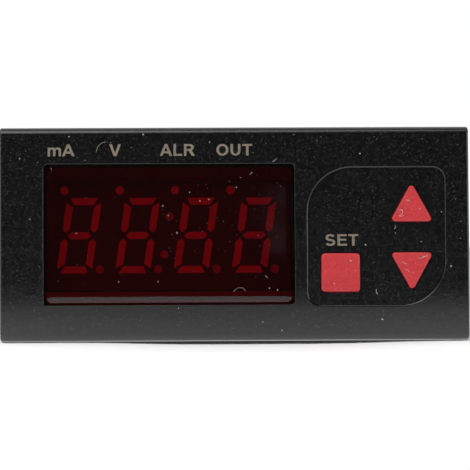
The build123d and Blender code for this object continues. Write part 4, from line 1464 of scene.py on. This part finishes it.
def front_dust() -> list[Dust]:
    """Lists the dust on the front, as it lies in the photograph.

    Returns:
        The dust of the case and of each key.
    """
    face, lens, floor, key = Level.FACE, Level.LENS, Level.KEYPAD, Level.KEY
    case = Dust(
        "dust_case", Body.CASE, Slot.BEZEL,
        (
            Patch(face, -37.0, 37.0, 12.0, 16.2, 150),
            Patch(face, -37.0, 37.0, -15.8, -12.3, 110),
            Patch(face, -37.0, -31.9, -12.0, 12.0, 45),
            Patch(face, 35.2, 37.4, -12.0, 12.0, 22),
            Patch(lens, -29.5, 8.3, -9.8, 9.8, 34),
            Patch(lens, -12.0, 8.3, -4.0, 9.0, 60),
            Patch(floor, 21.5, 24.5, -10.0, 9.5, 26),
            Patch(floor, 14.0, 24.0, 0.5, 7.0, 26),
        ),
        (
            Specks(face, (
                (-14.94, 16.3, 0.16), (-4.07, 15.0, 0.1), (-27.1, 15.98, 0.09), (-35.19, 12.39, 0.1),
                (-33.54, 2.45, 0.11), (20.62, 13.04, 0.1), (9.75, 16.2, 0.09), (35.44, -5.54, 0.13),
                (37.0, -0.98, 0.08), (4.49, -14.51, 0.11), (24.08, -14.18, 0.15), (7.61, -15.9, 0.1),
                (-9.3, -12.2, 0.09), (-24.5, 12.1, 0.08),
            )),
            Specks(lens, (
                (-25.97, 0.16, 0.11), (-9.51, 0.16, 0.12), (-5.72, 5.38, 0.11), (-4.24, 5.62, 0.1),
                (-19.06, -7.83, 0.09), (-12.64, -7.83, 0.11), (-7.4, 6.8, 0.09), (-11.8, 4.6, 0.1),
                (-10.9, 3.0, 0.09), (1.0, 9.2, 0.09), (0.3, 7.6, 0.1), (6.9, -9.3, 0.1), (5.6, -9.0, 0.1),
            )),
            Specks(floor, (
                (30.66, -1.47, 0.1), (21.44, -1.96, 0.12), (34.0, 3.42, 0.09), (26.38, 0.0, 0.08),
            )),
        ),
        (
            Fibre(face, (-22.7, 13.3), (-22.5, 14.9), (-21.1, 15.1), 0.019),
            Fibre(face, (6.2, 11.75), (6.5, 11.9), (7.0, 12.3), 0.031),
            Fibre(lens, (-0.3, -9.6), (0.15, -8.9), (0.75, -8.85), 0.022),
            Fibre(lens, (0.75, -8.85), (1.4, -8.85), (1.75, -9.6), 0.017),
            Fibre(lens, (2.4, 9.6), (2.7, 9.8), (2.9, 10.1), 0.031),
            Fibre(lens, (4.9, -6.9), (5.2, -7.1), (5.3, -7.4), 0.031),
            Fibre(floor, (23.2, -9.2), (23.0, -9.7), (23.4, -10.1), 0.031),
            Fibre(floor, (26.3, 1.3), (26.5, 1.0), (26.2, 0.6), 0.031),
        ),
        seed=7,
    )
    up = Dust(
        "dust_up_key", Body.UP_KEY, Slot.KEY,
        (Patch(key, 27.4, 30.6, 2.3, 4.6, 8),),
        (Specks(key, ((28.3, 5.2, 0.1), (30.4, 3.9, 0.12), (28.9, 7.0, 0.06))),),
        (
            Fibre(key, (26.9, 3.7), (27.7, 3.9), (27.5, 3.2), 0.037),
            Fibre(key, (27.5, 3.2), (27.2, 2.8), (26.9, 2.75), 0.031),
            Fibre(key, (26.9, 2.75), (27.3, 2.6), (27.75, 2.85), 0.031),
            Fibre(key, (28.0, 5.3), (28.4, 5.5), (28.8, 5.1), 0.037),
        ),
        seed=11,
    )
    down = Dust(
        "dust_down_key", Body.DOWN_KEY, Slot.KEY,
        (Patch(key, 27.6, 30.4, -6.4, -4.0, 9),),
        (Specks(key, ((30.2, -4.2, 0.1), (29.2, -6.6, 0.09))),),
        (
            Fibre(key, (27.3, -4.7), (27.8, -5.1), (28.2, -5.2), 0.043),
            Fibre(key, (30.3, -4.3), (31.0, -3.9), (31.6, -3.8), 0.056),
            Fibre(key, (27.9, -6.0), (28.3, -6.1), (28.5, -6.5), 0.031),
        ),
        seed=12,
    )
    square = Dust(
        "dust_set_key", Body.SET_KEY, Slot.KEY,
        (Patch(key, 14.9, 19.7, -9.0, -4.0, 16),),
        (Specks(key, ((18.97, -4.6, 0.13), (16.18, -8.31, 0.12), (17.4, -9.25, 0.1), (19.7, -6.2, 0.08))),),
        (Fibre(key, (18.6, -4.4), (18.9, -4.7), (19.3, -4.6), 0.031),),
        seed=13,
    )
    return [case, up, down, square]


@dataclass(frozen=True)
class Lamp:
    """A soft lamp that faces the meter: its place and size in metres and its power in watts."""

    name: str
    place: Triple
    size: tuple[float, float]
    power: float
    in_gloss: bool = True

    def hang(self) -> None:
        """Hangs the lamp, hidden from the camera."""
        light = bpy.data.lights.new(self.name, "AREA")
        light.shape, light.energy = "RECTANGLE", self.power
        light.size, light.size_y = self.size
        lamp = show(self.name, light)
        lamp.location = self.place
        lamp.rotation_euler = (-Vector(self.place)).to_track_quat("-Z", "Y").to_euler()
        lamp.visible_camera = False
        lamp.visible_glossy = lamp.visible_transmission = self.in_gloss


@dataclass(frozen=True)
class Viewpoint:
    """Where the photograph was taken from, in metres and degrees: low, a little left, with a long lens."""

    target: Triple = (0.000001, -0.0068, -0.000264)
    distance: float = 0.455
    azimuth: float = -1.7
    elevation: float = -3.2
    roll: float = -0.352
    focal_pixels: float = 2778.3
    frame_pixels: float = 470.0
    film_mm: float = 36.0
    near: float = 0.01

    def stand(self) -> None:
        """Stands the camera there and makes it the scene's own."""
        azimuth, elevation, roll = map(radians, (self.azimuth, self.elevation, self.roll))
        away = Vector((sin(azimuth) * cos(elevation), -cos(azimuth) * cos(elevation), sin(elevation)))
        right = (-away).cross(Vector((0, 0, 1))).normalized()
        up = right.cross(-away)
        side = cos(roll) * right + sin(roll) * up
        top = cos(roll) * up - sin(roll) * right
        data = bpy.data.cameras.new("camera")
        data.sensor_width, data.clip_start = self.film_mm, self.near
        data.lens = self.focal_pixels / self.frame_pixels * self.film_mm
        camera = show("camera", data)
        turn = Matrix((side, top, away)).transposed().to_4x4()
        camera.matrix_world = Matrix.Translation(Vector(self.target) + self.distance * away) @ turn
        bpy.context.scene.camera = camera


@dataclass
class Studio:
    """Pale floor, soft lamps, plain surroundings and the camera, in metres."""

    tilt: float = 0.0575
    floor_front: float = -0.2
    floor_back: float = 2.5
    floor_side: float = 1.6
    contact_y: float = -0.002
    contact_z: float = -0.0175
    clearance: float = 0.00002
    dip: float = 0.0004
    dip_middle: float = 0.004
    dip_reach: float = 0.022
    columns: int = 97
    rows: int = 9
    even_share: float = 0.06
    sky_range: Range = (-0.1, 0.35)
    sky_light: Range = (0.04, 0.9)
    paper: StudioPaper = StudioPaper(
        "studio_paper", (0.93, 0.93, 0.93, 1.0), camera_lift=0.16, gloss_lift=0.75, far=-0.12,
        foot=(-0.0068, 0.056), foot_side=0.0375,
    )
    lamps: tuple[Lamp, ...] = (
        Lamp("top_lamp", (-0.3, -0.42, 0.76), (0.8, 0.8), 6.6),
        Lamp("low_fill", (0.0, -0.9, -0.055), (0.3, 0.3), 2.4, in_gloss=False),
        Lamp("pale_card", (0.054, -1.006, 0.063), (0.013, 0.034), 0.0002),
        Lamp("left_fill", (-0.8, -0.45, 0.1), (0.5, 0.5), 1.4),
        Lamp("right_fill", (0.75, -0.35, 0.12), (0.4, 0.4), 2.2),
    )
    viewpoint: Viewpoint = Viewpoint()

    def floor_mesh(self) -> bpy.types.Mesh:
        """Computes the floor.

        A grid over side and depth, closer set in the middle by the cube of its step. Its height rises
        with depth by the tilt at which the meter stands on its bezel and on the lower rear edge of its
        case, less a shallow dip that fades to the sides as a flat-topped bell curve.

        Returns:
            The floor's mesh.
        """
        step = np.linspace(-1, 1, self.columns)
        side, depth = np.meshgrid(
            self.floor_side * (self.even_share * step + (1 - self.even_share) * step**3),
            np.linspace(self.floor_front, self.floor_back, self.rows),
        )
        sunk = self.dip * np.exp(-(((side - self.dip_middle) / self.dip_reach) ** 4))
        height = self.contact_z - self.clearance + self.tilt * (depth - self.contact_y) - sunk
        points = np.stack((side, depth, height), axis=-1).reshape(-1, 3)
        row, column = np.meshgrid(np.arange(self.rows - 1), np.arange(self.columns - 1), indexing="ij")
        first = (self.columns * row + column).ravel()
        above = first + self.columns
        return mesh_of("floor", points, np.stack((first, first + 1, above + 1, above), axis=-1))

    def surroundings(self) -> None:
        """Makes the world white to the camera, pale behind the meter and dim in front of it."""
        world = bpy.data.worlds.new("surroundings")
        bpy.context.scene.world = world
        bench = Bench(world)
        split = bench.put("SeparateXYZ", {0: bench.put("TexCoord")["Generated"]})
        light = bench.span(split[Axis.DEPTH.value], self.sky_range, self.sky_light)
        strength = bench.join(Join.MOST, bench.put("LightPath")["Is Camera Ray"], light)
        sky = bench.put("Background", {"Color": WHITE, "Strength": strength})[0]
        bench.put("OutputWorld", {"Surface": sky})

    def build(self) -> None:
        """Lays the floor, hangs the lamps and stands the camera."""
        mesh = self.floor_mesh()
        mesh.materials.append(self.paper.material())
        floor = show("floor", mesh)
        for lamp in self.lamps:
            lamp.hang()
        self.surroundings()
        self.viewpoint.stand()
        bpy.context.scene.view_settings.view_transform = "Standard"


def main() -> None:
    """Builds and dresses the sub-assemblies in order, then sets the studio."""
    logging.basicConfig(level=logging.INFO, format="%(name)s: %(message)s")
    panel, keypad = FrontPanel(), Keypad()
    panel.build()
    keypad.build()
    for unit in (panel, DisplayUnit(), keypad, CaseShell(), Boards(), Terminals()):
        unit.dress()
        log.info("%s is dressed", type(unit).__name__)
    for dust in front_dust():
        dust.build()
    Studio().build()
    log.info("the studio is set")


if __name__ == "__main__":
    main()
